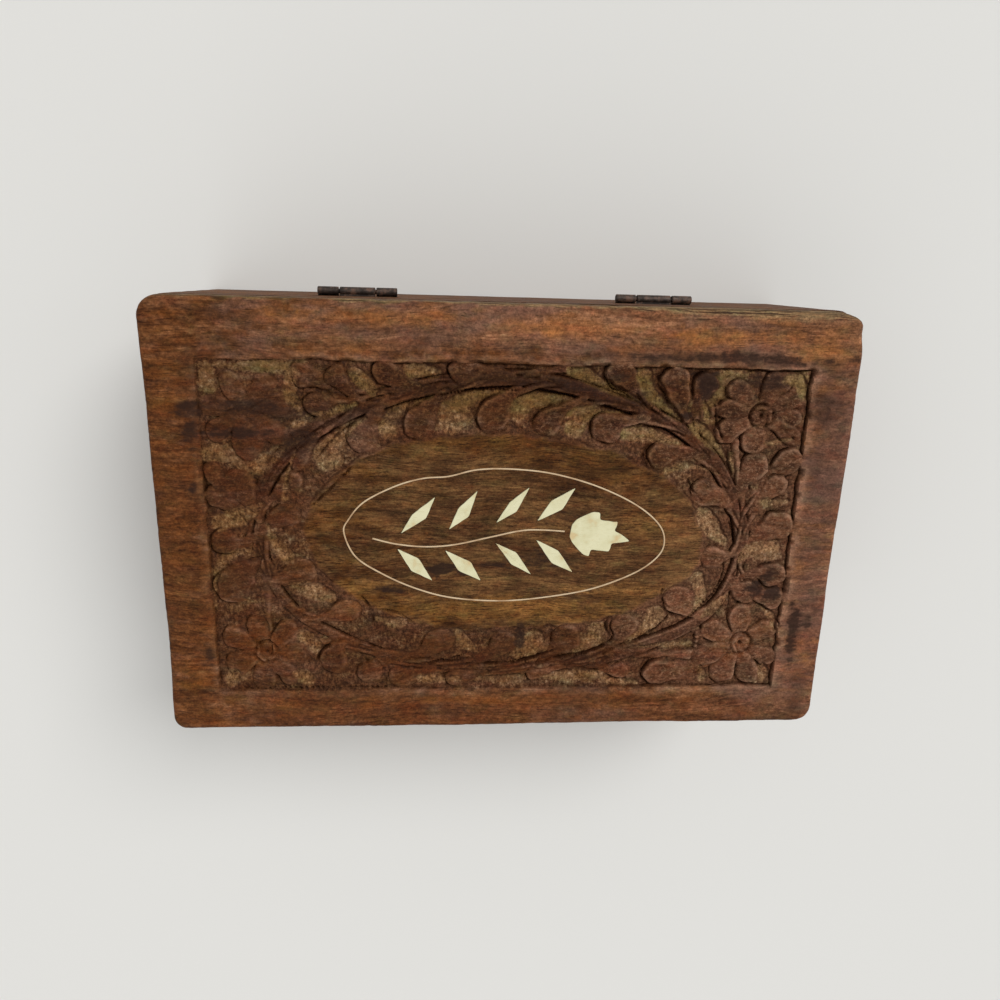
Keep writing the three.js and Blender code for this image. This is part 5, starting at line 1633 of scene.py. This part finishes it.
def hinge_recess(hinge_name, on_lid_leaf):
    """Cutters for one hinge in a back board: the leaf's recess and the screw holes"""
    near = cad(f"{hinge_name}_{'lid' if on_lid_leaf else 'box'}_leaf")[0][1]
    start, end, _ = pin_span(f"{hinge_name}_pin")
    foot = LEAF_LEVELS[on_lid_leaf]
    floor, roof = foot - LEAF_FIT, foot + LEAF_THICKNESS + OVERRUN
    if on_lid_leaf:
        floor, roof = foot - OVERRUN, foot + LEAF_THICKNESS + LEAF_FIT
    recess_low = (start - LEAF_FIT, near - LEAF_FIT, floor)
    cutters = [block("recess", recess_low, (end + LEAF_FIT, HALF_Y + OVERRUN, roof))]
    for screw_node in screws_of(hinge_name, on_lid_leaf):
        screw_low, screw_high = cad(screw_node)
        face = screw_low[2] if on_lid_leaf else screw_high[2]
        cutters.append(screw_hole("screw_hole", (*middle_of(screw_node), face), not on_lid_leaf))
    return cutters


def screws_of(hinge_name, on_lid_leaf):
    side = "lid" if on_lid_leaf else "box"
    return [f"{hinge_name}_{side}_screw_{number}" for number in (1, 2)]


def nail_hole(node):
    place = (*middle_of(node), cad(node)[0][2])
    profile = hole_profile(NAIL_HEAD_RADIUS, NAIL_SHANK_RADIUS, NAIL_HEAD_HEIGHT, NAIL_LENGTH, NAIL_FIT)
    return lathe("nail_hole", profile, place)


# Node materials


def colour(code):
    """The linear values that shaders need of a colour written as 0xRRGGBB"""
    channels = [(code >> shift & 0xFF) / 255 for shift in (16, 8, 0)]
    linear = [value / 12.92 if value <= 0.04045 else ((value + 0.055) / 1.055) ** 2.4 for value in channels]
    return (*linear, 1.0)


class Shader:
    """Builds a material's nodes: an input is a value, or a socket to link from"""

    def __init__(self, name):
        self.material = bpy.data.materials.new(name)
        self.material.use_nodes = True
        self.tree = self.material.node_tree
        self.tree.nodes.clear()
        self.surface = self.add("ShaderNodeBsdfPrincipled")
        output = self.add("ShaderNodeOutputMaterial")
        self.tree.links.new(self.surface.outputs["BSDF"], output.inputs["Surface"])

    def add(self, kind, **settings):
        node = self.tree.nodes.new(kind)
        for name, value in settings.items():
            setattr(node, name, value)
        return node

    def put(self, node, name, value):
        if isinstance(value, bpy.types.NodeSocket):
            self.tree.links.new(value, node.inputs[name])
        else:
            node.inputs[name].default_value = value

    def attribute(self, name, share=None):
        """A mark on the piece's surface, or a share of it"""
        value = self.add("ShaderNodeAttribute", attribute_name=name).outputs["Fac"]
        return value if share is None else self.times(value, share)

    def place(self):
        """Places in the piece's own axes, in millimetres"""
        return self.scaled(self.add("ShaderNodeTexCoord").outputs["Object"], (1000, 1000, 1000))

    def scaled(self, vector, factors):
        node = self.add("ShaderNodeVectorMath", operation="MULTIPLY")
        self.put(node, 0, vector)
        self.put(node, 1, factors)
        return node.outputs[0]

    def shifted(self, vector, offset):
        node = self.add("ShaderNodeVectorMath", operation="ADD")
        self.put(node, 0, vector)
        self.put(node, 1, offset)
        return node.outputs[0]

    def noise(self, place, factors, detail=2, roughness=0.5, offset=None):
        """Noise over a place whose axes are multiplied by the factors and then moved"""
        vector = self.scaled(place, factors)
        if offset:
            vector = self.shifted(vector, offset)
        node = self.add("ShaderNodeTexNoise")
        self.put(node, "Vector", vector)
        self.put(node, "Scale", 1.0)
        self.put(node, "Detail", detail)
        self.put(node, "Roughness", roughness)
        return node.outputs["Fac"]

    def ramp(self, value, start, end, low=0.0, high=1.0):
        node = self.add("ShaderNodeMapRange", interpolation_type="SMOOTHSTEP")
        names = ("Value", "From Min", "From Max", "To Min", "To Max")
        for name, setting in zip(names, (value, start, end, low, high)):
            self.put(node, name, setting)
        return node.outputs["Result"]

    def calculated(self, operation, first, second):
        node = self.add("ShaderNodeMath", operation=operation)
        self.put(node, 0, first)
        self.put(node, 1, second)
        return node.outputs[0]

    def sum(self, first, second):
        return self.calculated("ADD", first, second)

    def times(self, first, second):
        return self.calculated("MULTIPLY", first, second)

    def mix(self, share, first, second, blend="MIX"):
        node = self.add("ShaderNodeMix", data_type="RGBA", blend_type=blend)
        self.put(node, 0, share)
        self.put(node, 6, first)
        self.put(node, 7, second)
        return node.outputs[2]

    def tinted(self, tone, share, code):
        return self.mix(share, tone, colour(code))

    def multiplied(self, tone, share, factors):
        return self.mix(share, tone, (*factors, 1.0), "MULTIPLY")

    def mottled(self, tone, factor):
        """A tone made darker and lighter by one factor for all its channels"""
        grey = self.add("ShaderNodeCombineColor")
        for channel in ("Red", "Green", "Blue"):
            self.put(grey, channel, factor)
        return self.mix(1.0, tone, grey.outputs[0], "MULTIPLY")

    def weighted(self, *terms):
        """The sum of values, each times its weight"""
        total = None
        for value, weight in terms:
            term = self.times(value, weight)
            total = term if total is None else self.sum(total, term)
        return total

    def bump(self, height, distance, strength):
        node = self.add("ShaderNodeBump")
        self.put(node, "Height", height)
        self.put(node, "Distance", distance * MM)
        self.put(node, "Strength", strength)
        return node.outputs["Normal"]

    def finish(self, settings):
        """Gives the surface its settings and returns the material"""
        for name, value in settings.items():
            self.put(self.surface, name, value)
        return self.material


FIBRE_SWAY = 9.0
LID_TONES = {
    "dark": 0x4E2F1D, "mid": 0x6E482F, "light": 0x8C6245, "mauve": 0x64493D, "warm": 0x8E5A30,
    "pore": 0x2A180E,
}
BOX_TONES = {
    "dark": 0x412817, "mid": 0x5F3E27, "light": 0x7B5437, "mauve": 0x563F35, "warm": 0x825229,
    "pore": 0x24150C,
}
BASE_TONES = {
    "dark": 0x58402A, "mid": 0x7D5F43, "light": 0x9A7A5A, "mauve": 0x725A4A, "warm": 0x936A42,
    "pore": 0x382A1B,
}


def wood_fields(shader, along_y):
    """The noise that a wood's colours and its relief are made from"""
    place = shader.place()
    grain = fibre_place(shader, place, along_y)
    return {
        "place": place,
        "grain": grain,
        "bands": shader.noise(grain, (0.03, 0.26, 0.26), 3, 0.6),
        "fibres": shader.noise(grain, (0.16, 2.3, 2.3), 3, 0.6),
        "mottle": shader.noise(grain, (0.7, 1.2, 1.2), 3, 0.7),
        "grit": shader.noise(place, (2.3, 2.6, 2.6), 2, 0.7),
        "pores": shader.noise(grain, (0.26, 3.6, 3.6), 2),
    }


def fibre_place(shader, place, along_y):
    """Places whose first axis runs along the fibres, which sway a little"""
    if along_y:
        turned = shader.add("ShaderNodeVectorRotate", rotation_type="Z_AXIS")
        shader.put(turned, "Vector", place)
        shader.put(turned, "Angle", math.pi / 2)
        place = turned.outputs[0]
    sway = shader.noise(place, (0.03, 0.05, 0.05), 1)
    lift = shader.add("ShaderNodeCombineXYZ")
    shader.put(lift, "Y", shader.times(sway, FIBRE_SWAY))
    return shader.shifted(place, lift.outputs[0])


def wood(name, tones, along_y=False, carved=False):
    """Old open-grained wood with the fibres along X or Y"""
    shader = Shader(name)
    fields = wood_fields(shader, along_y)
    tone = figured(shader, fields, tones, carved)
    if carved:
        tone = worn_and_shaded_back_edge(shader, fields, tone)
        tone = leaf_colours(shader, fields, tone)
        tone = medallion_colours(shader, fields, tone)
        tone = sunk_ground(shader, fields, tone)
    tone = speckled(shader, fields, tone)
    tone = grimy(shader, tone)
    if carved:
        tone = shader.multiplied(tone, shader.attribute("shade", 0.85), (0.52, 0.44, 0.42))
        tone = stains_dirt_and_shade(shader, fields, tone)
    fibres, pores, mottle, grit = [fields[name] for name in ("fibres", "pores", "mottle", "grit")]
    heights = shader.weighted((fibres, 0.45), (pores, -0.45), (mottle, 0.4), (grit, 0.35))
    return shader.finish({
        "Base Color": tone,
        "Roughness": shader.ramp(mottle, 0.3, 0.7, 0.52, 0.7),
        "Specular IOR Level": 0.06,
        "Normal": shader.bump(heights, 0.2, 0.8),
    })


def figured(shader, fields, tones, carved):
    """The wood's own colours: bands along the fibres, broad patches and dark pores"""
    figure = shader.weighted((fields["bands"], 0.4), (fields["fibres"], 0.32), (fields["mottle"], 0.28))
    broad = shader.noise(fields["place"], (0.05, 0.09, 0.09), 2, 0.6)
    warmth = shader.noise(fields["place"], (0.07, 0.2, 0.2), 2, 0.6, (7, 3, 5))
    tone = shader.mix(shader.ramp(figure, 0.38, 0.51), colour(tones["dark"]), colour(tones["mid"]))
    tone = shader.tinted(tone, shader.ramp(figure, 0.49, 0.63), tones["light"])
    tone = shader.tinted(tone, shader.ramp(broad, 0.44, 0.66, 0, 0.6), tones["mauve"])
    warm = shader.ramp(warmth, 0.52, 0.72, 0, 0.45)
    if carved:
        streaked = shader.ramp(figure, 0.3, 0.6, 0.3, 0.9)
        warm = shader.sum(warm, shader.attribute("warm", streaked))
    tone = shader.tinted(tone, warm, tones["warm"])
    return shader.tinted(tone, shader.ramp(fields["pores"], 0.6, 0.7, 0, 0.6), tones["pore"])


def speckled(shader, fields, tone):
    """Fine light and dark spots, less in calm places, and a drift from green to red"""
    place = fields["place"]
    bars = shader.noise(fields["grain"], (0.07, 0.8, 0.8), 2, 0.6)
    tone = shader.mottled(tone, shader.ramp(bars, 0.34, 0.66, 0.9, 1.1))
    tone = shader.mottled(tone, shader.ramp(fields["mottle"], 0.32, 0.68, 0.82, 1.18))
    tone = shader.mottled(tone, shader.ramp(fields["grit"], 0.3, 0.7, 0.78, 1.22))
    specks = shader.noise(place, (1.9, 2.4, 2.4), 2, 0.6)
    calm = shader.noise(place, (0.1, 0.16, 0.16), 2, 0.6, (2, 8, 4))
    busy = shader.ramp(calm, 0.36, 0.62, 0.25, 1.0)
    dark_speck = shader.times(shader.ramp(specks, 0.6, 0.72), busy)
    tone = shader.multiplied(tone, dark_speck, (0.52, 0.46, 0.42))
    pale_speck = shader.times(shader.ramp(specks, 0.4, 0.28), busy)
    tone = shader.multiplied(tone, pale_speck, (1.4, 1.4, 1.4))
    hue = shader.noise(place, (0.16, 0.3, 0.3), 3, 0.65, (9, 1, 6))
    tone = shader.multiplied(tone, shader.ramp(hue, 0.5, 0.68), (0.86, 1.0, 0.96))
    return shader.multiplied(tone, shader.ramp(hue, 0.48, 0.32), (1.04, 0.9, 0.88))


def grimy(shader, tone):
    """Grime along the seams, fainter on level faces"""
    facing = shader.add("ShaderNodeSeparateXYZ")
    shader.put(facing, "Vector", shader.add("ShaderNodeTexCoord").outputs["Normal"])
    upright = shader.calculated("ABSOLUTE", facing.outputs["Z"], 0.0)
    level = shader.ramp(upright, 0.6, 0.92, 0.75, 0.15)
    return shader.tinted(tone, shader.attribute("grime", level), 0x1E120B)


def worn_and_shaded_back_edge(shader, fields, tone):
    """The dusky patches, and the pale cracked wood along the lid's back edge, with painted shade where that
    edge rolls down
    """
    tone = shader.tinted(tone, shader.attribute("dusk", 0.6), 0x5A4036)
    cracks = shader.noise(fields["grain"], (0.12, 2.6, 2.6), 3, 0.7)
    worn = shader.mix(shader.ramp(cracks, 0.4, 0.56), colour(0x30241A), colour(0x7E6848))
    return shader.mix(shader.attribute("edge", 0.8), tone, worn)


def leaf_colours(shader, fields, tone):
    """Leaves and vine: each leaf has its tint, under dark and pale blotches and a dusty film"""
    blotch = shader.noise(fields["place"], (0.34, 0.42, 0.42), 3, 0.7, (11, 2, 7))
    leaf = shader.mix(shader.attribute("tint"), colour(0x412719), colour(0x5B3C28))
    leaf = shader.tinted(leaf, shader.attribute("warm", 0.8), 0x683B1A)
    leaf = shader.tinted(leaf, shader.attribute("dusk", 0.6), 0x3A261C)
    leaf = shader.tinted(leaf, shader.ramp(blotch, 0.5, 0.64, 0, 0.6), 0x704C38)
    leaf = shader.tinted(leaf, shader.ramp(blotch, 0.47, 0.35, 0, 0.8), 0x2C150B)
    leaf = shader.multiplied(leaf, 1.0, (0.88, 0.79, 0.7))
    film = shader.noise(fields["place"], (1.3, 1.6, 1.6), 3, 0.75, (4, 6, 1))
    leaf = shader.tinted(leaf, shader.ramp(film, 0.51, 0.62, 0, 0.6), 0x84634B)
    leaf = shader.tinted(leaf, shader.ramp(film, 0.46, 0.34, 0, 0.55), 0x2E160A)
    leaf = shader.tinted(leaf, shader.ramp(fields["fibres"], 0.46, 0.68, 0, 0.4), 0x6B4D39)
    return shader.mix(shader.attribute("leaf", 0.92), tone, leaf)


def medallion_colours(shader, fields, tone):
    """The streaked medallion, then the ochre, red and lighter places of the whole lid with painted highlights
    along its right and back edges, and its worn places with painted highlights on the leaves' rims
    """
    streaks = shader.noise(fields["grain"], (0.34, 3.4, 3.4), 3, 0.75)
    shadows = shader.noise(fields["place"], (0.1, 0.26, 0.26), 3, 0.65, (1, 5, 2))
    clouds = shader.noise(fields["grain"], (0.06, 0.3, 0.3), 2, 0.6)
    centre = shader.mix(shader.ramp(clouds, 0.36, 0.64), colour(0x4B301A), colour(0x644527))
    centre = shader.tinted(centre, shader.ramp(clouds, 0.54, 0.72, 0, 0.6), 0x755632)
    centre = shader.tinted(centre, shader.attribute("ochre", 0.75), 0x735029)
    centre = shader.tinted(centre, shader.ramp(streaks, 0.52, 0.62, 0, 0.85), 0x2D1809)
    centre = shader.tinted(centre, shader.ramp(streaks, 0.46, 0.34, 0, 0.45), 0x83633C)
    centre = shader.mottled(centre, shader.ramp(shadows, 0.34, 0.66, 0.72, 1.28))
    tone = shader.mix(shader.attribute("medallion", 0.95), tone, centre)
    tone = shader.multiplied(tone, shader.attribute("ochre", 0.8), (1.16, 1.08, 0.86))
    tone = shader.multiplied(tone, shader.attribute("red", 0.8), (1.0, 0.76, 0.66))
    # Lighter where hands kept it so, and painted highlights along the right and the back edges
    tone = shader.multiplied(tone, shader.attribute("light", 0.8), (1.4, 1.36, 1.42))
    # Worn places, and painted highlights on the leaves' rims, made lighter
    return shader.tinted(tone, shader.attribute("wear_and_highlight", 0.5), 0x9A745C)


def sunk_ground(shader, fields, tone):
    """The rough ground: darker where it is deep, as painted shade, with pale dust where that has settled,
    painted brighter away from the shading walls
    """
    place = fields["place"]
    stipple = shader.noise(place, (1.3, 1.2, 1.2), 4, 0.75)
    gouged = shader.noise(place, (1.6, 0.5, 0.5), 2, 0.6)
    rubble = shader.weighted((stipple, 0.75), (gouged, 0.25))
    lay = shader.noise(place, (0.14, 0.2, 0.2), 3, 0.65, (3, 9, 1))
    dust = shader.sum(shader.attribute("dust", 0.75), shader.ramp(lay, 0.42, 0.66, 0.0, 0.35))
    dust = shader.sum(dust, shader.ramp(rubble, 0.4, 0.6, -0.14, 0.14))
    deep = shader.attribute("deep")
    # Less dust where the ground is deep, so that it shows darker: painted shade
    dust = shader.times(shader.ramp(dust, 0.1, 0.75), shader.ramp(deep, 0.05, 0.8, 1.0, 0.1))
    pale = shader.attribute("pale")
    pale = shader.times(pale, shader.ramp(rubble, 0.38, 0.54, 0.45, 1.0))
    dust = shader.calculated("MAXIMUM", dust, pale)
    plain = shader.mix(shader.ramp(rubble, 0.4, 0.58), colour(0x3E2618), colour(0x65442F))
    dusty = shader.mix(shader.ramp(rubble, 0.36, 0.56), colour(0x5E432C), colour(0x7E6044))
    dusty = shader.tinted(dusty, shader.ramp(rubble, 0.53, 0.68), 0xA88D71)
    # Painted light: the pale ground, away from the shading walls, made brighter still
    bright = shader.multiplied(dusty, 1.0, (1.4, 1.34, 1.22))
    dusty = shader.mix(shader.times(pale, 0.5), dusty, bright)
    dusty = shader.tinted(dusty, shader.attribute("olive", 0.6), 0x77683C)
    ground = shader.mix(dust, plain, dusty)
    flecks = shader.noise(place, (1.3, 1.5, 1.5), 2, 0.7, (5, 5, 5))
    fleck = shader.times(shader.ramp(flecks, 0.53, 0.64, 0, 0.7), shader.ramp(dust, 0.1, 0.9, 1.0, 0.55))
    ground = shader.tinted(ground, fleck, 0x30190B)
    # Painted shade: the deep ground darkened, except where it is pale
    sunk = shader.times(shader.ramp(deep, 0.4, 1.0, 0, 0.3), shader.ramp(pale, 0, 0.8, 1, 0))
    ground = shader.tinted(ground, sunk, 0x2A1205)
    return shader.mix(shader.attribute("ground", 0.95), tone, ground)


def stains_dirt_and_shade(shader, fields, tone):
    """The darkening of age with painted shade towards the left and the front, blue-black stains, and dirt
    with painted shade in the hollows and the cuts
    """
    dusty = shader.attribute("ground", -0.15)
    # Painted shade and age: darker towards the left and the front, less on the sunk ground
    aged_and_shaded = shader.attribute("aged_and_shaded", shader.sum(1.0, dusty))
    tone = shader.multiplied(tone, aged_and_shaded, (0.6, 0.48, 0.31))
    stain = shader.sum(shader.attribute("stain"), shader.ramp(fields["mottle"], 0.3, 0.7, -0.22, 0.22))
    tone = shader.tinted(tone, shader.ramp(stain, 0.2, 0.95, 0, 0.88), 0x271913)
    # Dirt and painted shade in the hollows and along the cut lines
    tone = shader.tinted(tone, shader.attribute("cavity", 0.45), 0x281206)
    return shader.tinted(tone, shader.ramp(shader.attribute("cut"), 0.12, 0.85, 0, 0.7), 0x281206)


def bone(name, tones):
    """Cream plates with faint grain, yellowed here and there"""
    shader = Shader(name)
    place = shader.place()
    cloud = shader.noise(place, (0.35, 0.35, 0.35), 2)
    lines = shader.noise(place, (0.7, 4.5, 4.5), 2)
    grit = shader.noise(place, (2.2, 2.2, 2.2), 2, 0.7)
    tone = shader.mix(shader.ramp(cloud, 0.35, 0.65), colour(tones["pale"]), colour(tones["mid"]))
    tone = shader.tinted(tone, shader.ramp(cloud, 0.56, 0.72, 0, 0.6), tones["yellowed"])
    tone = shader.tinted(tone, shader.ramp(lines, 0.55, 0.75, 0, 0.4), tones["line"])
    tone = shader.tinted(tone, shader.ramp(grit, 0.62, 0.78, 0, 0.35), tones["yellowed"])
    return shader.finish({
        "Base Color": tone,
        "Roughness": shader.ramp(cloud, 0.3, 0.7, 0.4, 0.55),
        "Specular IOR Level": 0.3,
        "Normal": shader.bump(lines, 0.05, 0.5),
    })


PLATE_TONES = {"pale": 0xD8D3AE, "mid": 0xCEC8A0, "yellowed": 0xC8A672, "line": 0xBDB28A}
WIRE_TONES = {"pale": 0xCBB391, "mid": 0xBC9F7C, "yellowed": 0xA07C58, "line": 0xA88D6C}


def iron(name, rust):
    """Old dark iron, browned and pitted"""
    shader = Shader(name)
    place = shader.place()
    cloud = shader.noise(place, (0.6, 0.6, 0.6), 3, 0.65)
    grit = shader.noise(place, (3.2, 3.2, 3.2), 3, 0.7)
    tone = shader.mix(shader.ramp(cloud, 0.35, 0.65), colour(0x2E2621), colour(0x4B4039))
    rusty = shader.ramp(shader.sum(cloud, shader.times(grit, 0.5)), 0.82 - rust, 1.02 - rust)
    tone = shader.tinted(tone, shader.times(rusty, 0.7), 0x5F3D28)
    return shader.finish({
        "Base Color": tone,
        "Metallic": shader.ramp(rusty, 0.0, 1.0, 0.7, 0.1),
        "Roughness": shader.ramp(grit, 0.3, 0.7, 0.42, 0.75),
        "Normal": shader.bump(grit, 0.08, 0.7),
    })


# Putting the box together


WIRE_NODES = ("inlay_ring", "inlay_stem")
NAIL_NODES = [f"base_nail_{number}" for number in range(1, 9)]

# The four boards round the box and round the lid: name, kind and side
BOARDS = (("front", "long", -1), ("back", "long", 1), ("left", "side", -1), ("right", "side", 1))
BOARD_MAKERS = {"long": long_board, "side": side_board}


def place_piece(piece, material, body, node):
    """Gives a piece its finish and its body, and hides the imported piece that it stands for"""
    piece.data.materials.clear()
    piece.data.materials.append(material)
    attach(piece, body)
    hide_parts(node)


def mark_board(piece, low, high):
    """Grime along the seams above and below a board"""
    z = places_of(piece)[:, 2]
    seams = [np.exp(-np.abs(z - level) / BOARD_GRIME_REACH) for level in (low, high)]
    mark(piece, "grime", sum(seams))


def cut_recesses(piece, on_lid_leaf):
    for hinge in HINGE_NAMES:
        for cutter in hinge_recess(hinge, on_lid_leaf):
            cut_away(piece, cutter)


def cut_nail_holes(piece):
    for node in NAIL_NODES:
        cut_away(piece, nail_hole(node))


def build_lid(woods, plate_finish, wire_finish, metal):
    place_piece(lid_panel(), woods["panel"], "lid", "lid_panel")
    nodes = ["inlay_ring", "inlay_stem", "inlay_flower"]
    nodes += [f"inlay_leaf_{index + 1}" for index in range(len(INLAY_LEAF_SHARES))]
    solids = inlay_solids(0, INLAY_BOTTOM, LID_TOP + INLAY_PROUD, INLAY_BEVEL)
    for piece, node in zip(solids, nodes):
        finish = wire_finish if node in WIRE_NODES else plate_finish
        place_piece(piece, finish, "lid", node)
    low, high = RIM_LOW[2], RIM_HIGH[2]
    for number, (name, kind, side) in enumerate(BOARDS):
        maker = BOARD_MAKERS[kind]
        seed = SEEDS["rim"] + 10 * number
        piece = maker(f"worn_lid_rim_{name}", side, low, high, FREE_BEVEL, GLUED_BEVEL, seed)
        if name == "back":
            cut_recesses(piece, True)
            finish_shading(piece)
        mark_board(piece, low, high)
        place_piece(piece, woods[kind], "lid", f"lid_rim_{name}")
    build_hinge_side("lid", metal, True)


def build_hinge_side(body, metal, on_lid_leaf):
    for number, hinge in enumerate(HINGE_NAMES):
        screws = screws_of(hinge, on_lid_leaf)
        node = f"{hinge}_{body}_leaf"
        leaf = hinge_leaf(f"rolled_{node}", node, f"{hinge}_pin", screws, on_lid_leaf)
        place_piece(leaf, metal, body, node)
        for index, screw_node in enumerate(screws):
            turn = FIRST_SLOTS_DEG[on_lid_leaf] + SLOT_TURN_DEG * (number * 2 + index)
            piece = screw(f"slotted_{screw_node}", screw_node, not on_lid_leaf, turn)
            place_piece(piece, metal, body, screw_node)


def build_box(woods, metal, nail_metal):
    low, high = WALL_LOW[2], WALL_HIGH[2]
    rebate_low = BASE_LOW - (GLUE_LINE, GLUE_LINE, OVERRUN)
    rebate_high = BASE_HIGH + GLUE_LINE
    for number, (name, kind, side) in enumerate(BOARDS):
        maker = BOARD_MAKERS[kind]
        seed = SEEDS["wall"] + 10 * number
        piece = maker(f"worn_{name}_wall", side, low, high, FREE_BEVEL, FREE_BEVEL, seed)
        cut_away(piece, block("rebate", rebate_low, rebate_high))
        cut_nail_holes(piece)
        if name == "back":
            cut_recesses(piece, False)
        finish_shading(piece)
        mark_board(piece, low, high)
        place_piece(piece, woods[kind], "box", f"{name}_wall")
    base = board("worn_base_panel", rectangle(BASE_LOW, BASE_HIGH), [GLUED_BEVEL] * 4, [True] * 4,
                 BASE_LOW[2], BASE_HIGH[2], GLUED_BEVEL, GLUED_BEVEL, SEEDS["base"])
    cut_nail_holes(base)
    finish_shading(base)
    place_piece(base, woods["base"], "box", "base_panel")
    for index, node in enumerate(NAIL_NODES):
        piece = nail(f"hammered_{node}", node, SEEDS["nail"] + index)
        place_piece(piece, nail_metal, "box", node)
    for hinge in HINGE_NAMES:
        node = f"{hinge}_pin"
        place_piece(hinge_pin(f"round_{node}", node), metal, "box", node)
    build_hinge_side("box", metal, False)


# Floor, light and camera

FLOOR_REACH = 3000.0
FLOOR_COLOUR = 0xDAD9D5
FLOOR_ROUGHNESS_SHARE = 0.9
ROOM_COLOUR = 0xEDEEEE
ROOM_STRENGTH = 0.58

# The lamps: name, the way that each shines from, strength, and spread in degrees
LAMPS = (("key", (0.7, 0.85, 1.1), 1.9, 34), ("fill", (-0.7, -0.9, 0.8), 0.35, 60))

CAMERA_PLACE = (-14.8, 55.3, 217.1)
CAMERA_TURN_DEG = (-16.12, -3.95, 1.596)
CAMERA_LENS = 28.08
CAMERA_FILM = 36.0
CAMERA_NEAR = 10.0


def build_floor():
    corners = rectangle((-FLOOR_REACH, -FLOOR_REACH), (FLOOR_REACH, FLOOR_REACH))
    floor = new_piece("floor", np.column_stack([corners, np.zeros(4)]), [[(0, 1, 2, 3)]])
    shader = Shader("floor_paper")
    finish = {"Base Color": colour(FLOOR_COLOUR), "Roughness": FLOOR_ROUGHNESS_SHARE}
    floor.data.materials.append(shader.finish(finish))


def build_room():
    """Light from all round, and the paler background that the camera and mirrors see"""
    world = bpy.data.worlds.new("room")
    world.use_nodes = True
    nodes = world.node_tree.nodes
    links = world.node_tree.links
    light = nodes["Background"]
    light.inputs["Color"].default_value = (1, 1, 1, 1)
    light.inputs["Strength"].default_value = ROOM_STRENGTH
    seen = nodes.new("ShaderNodeBackground")
    seen.inputs["Color"].default_value = colour(ROOM_COLOUR)
    path = nodes.new("ShaderNodeLightPath")
    looked_at = path.outputs["Is Camera Ray"]
    for ray in ("Is Glossy Ray", "Is Transmission Ray"):
        either = nodes.new("ShaderNodeMath")
        either.operation = "MAXIMUM"
        links.new(looked_at, either.inputs[0])
        links.new(path.outputs[ray], either.inputs[1])
        looked_at = either.outputs[0]
    choice = nodes.new("ShaderNodeMixShader")
    links.new(looked_at, choice.inputs[0])
    links.new(light.outputs[0], choice.inputs[1])
    links.new(seen.outputs[0], choice.inputs[2])
    links.new(choice.outputs[0], nodes["World Output"].inputs["Surface"])
    bpy.context.scene.world = world


def sun(name, towards, strength, spread_deg):
    """A soft lamp that shines from the way given"""
    lamp = bpy.data.lights.new(name, "SUN")
    lamp.energy = strength
    lamp.angle = math.radians(spread_deg)
    thing = bpy.data.objects.new(name, lamp)
    thing.rotation_euler = Vector(towards).to_track_quat("Z", "Y").to_euler()
    bpy.context.scene.collection.objects.link(thing)


def build_camera():
    data = bpy.data.cameras.new("photo_camera")
    data.lens = CAMERA_LENS
    data.sensor_width = CAMERA_FILM
    data.clip_start = CAMERA_NEAR * MM
    camera = bpy.data.objects.new("photo_camera", data)
    camera.location = [value * MM for value in CAMERA_PLACE]
    camera.rotation_euler = [math.radians(value) for value in CAMERA_TURN_DEG]
    bpy.context.scene.collection.objects.link(camera)
    bpy.context.scene.camera = camera


build_camera()
build_floor()
build_room()
for lamp in LAMPS:
    sun(*lamp)

woods = {
    "panel": wood("carved_lid_wood", LID_TONES, carved=True),
    "long": wood("long_board_wood", BOX_TONES),
    "side": wood("side_board_wood", BOX_TONES, along_y=True),
    "base": wood("base_board_wood", BASE_TONES),
}
hinge_metal = iron("hinge_iron", 0.1)
build_lid(woods, bone("bone_plates", PLATE_TONES), bone("bone_wires", WIRE_TONES), hinge_metal)
build_box(woods, hinge_metal, iron("nail_iron", 0.2))

bpy.context.scene.view_settings.view_transform = "Standard"
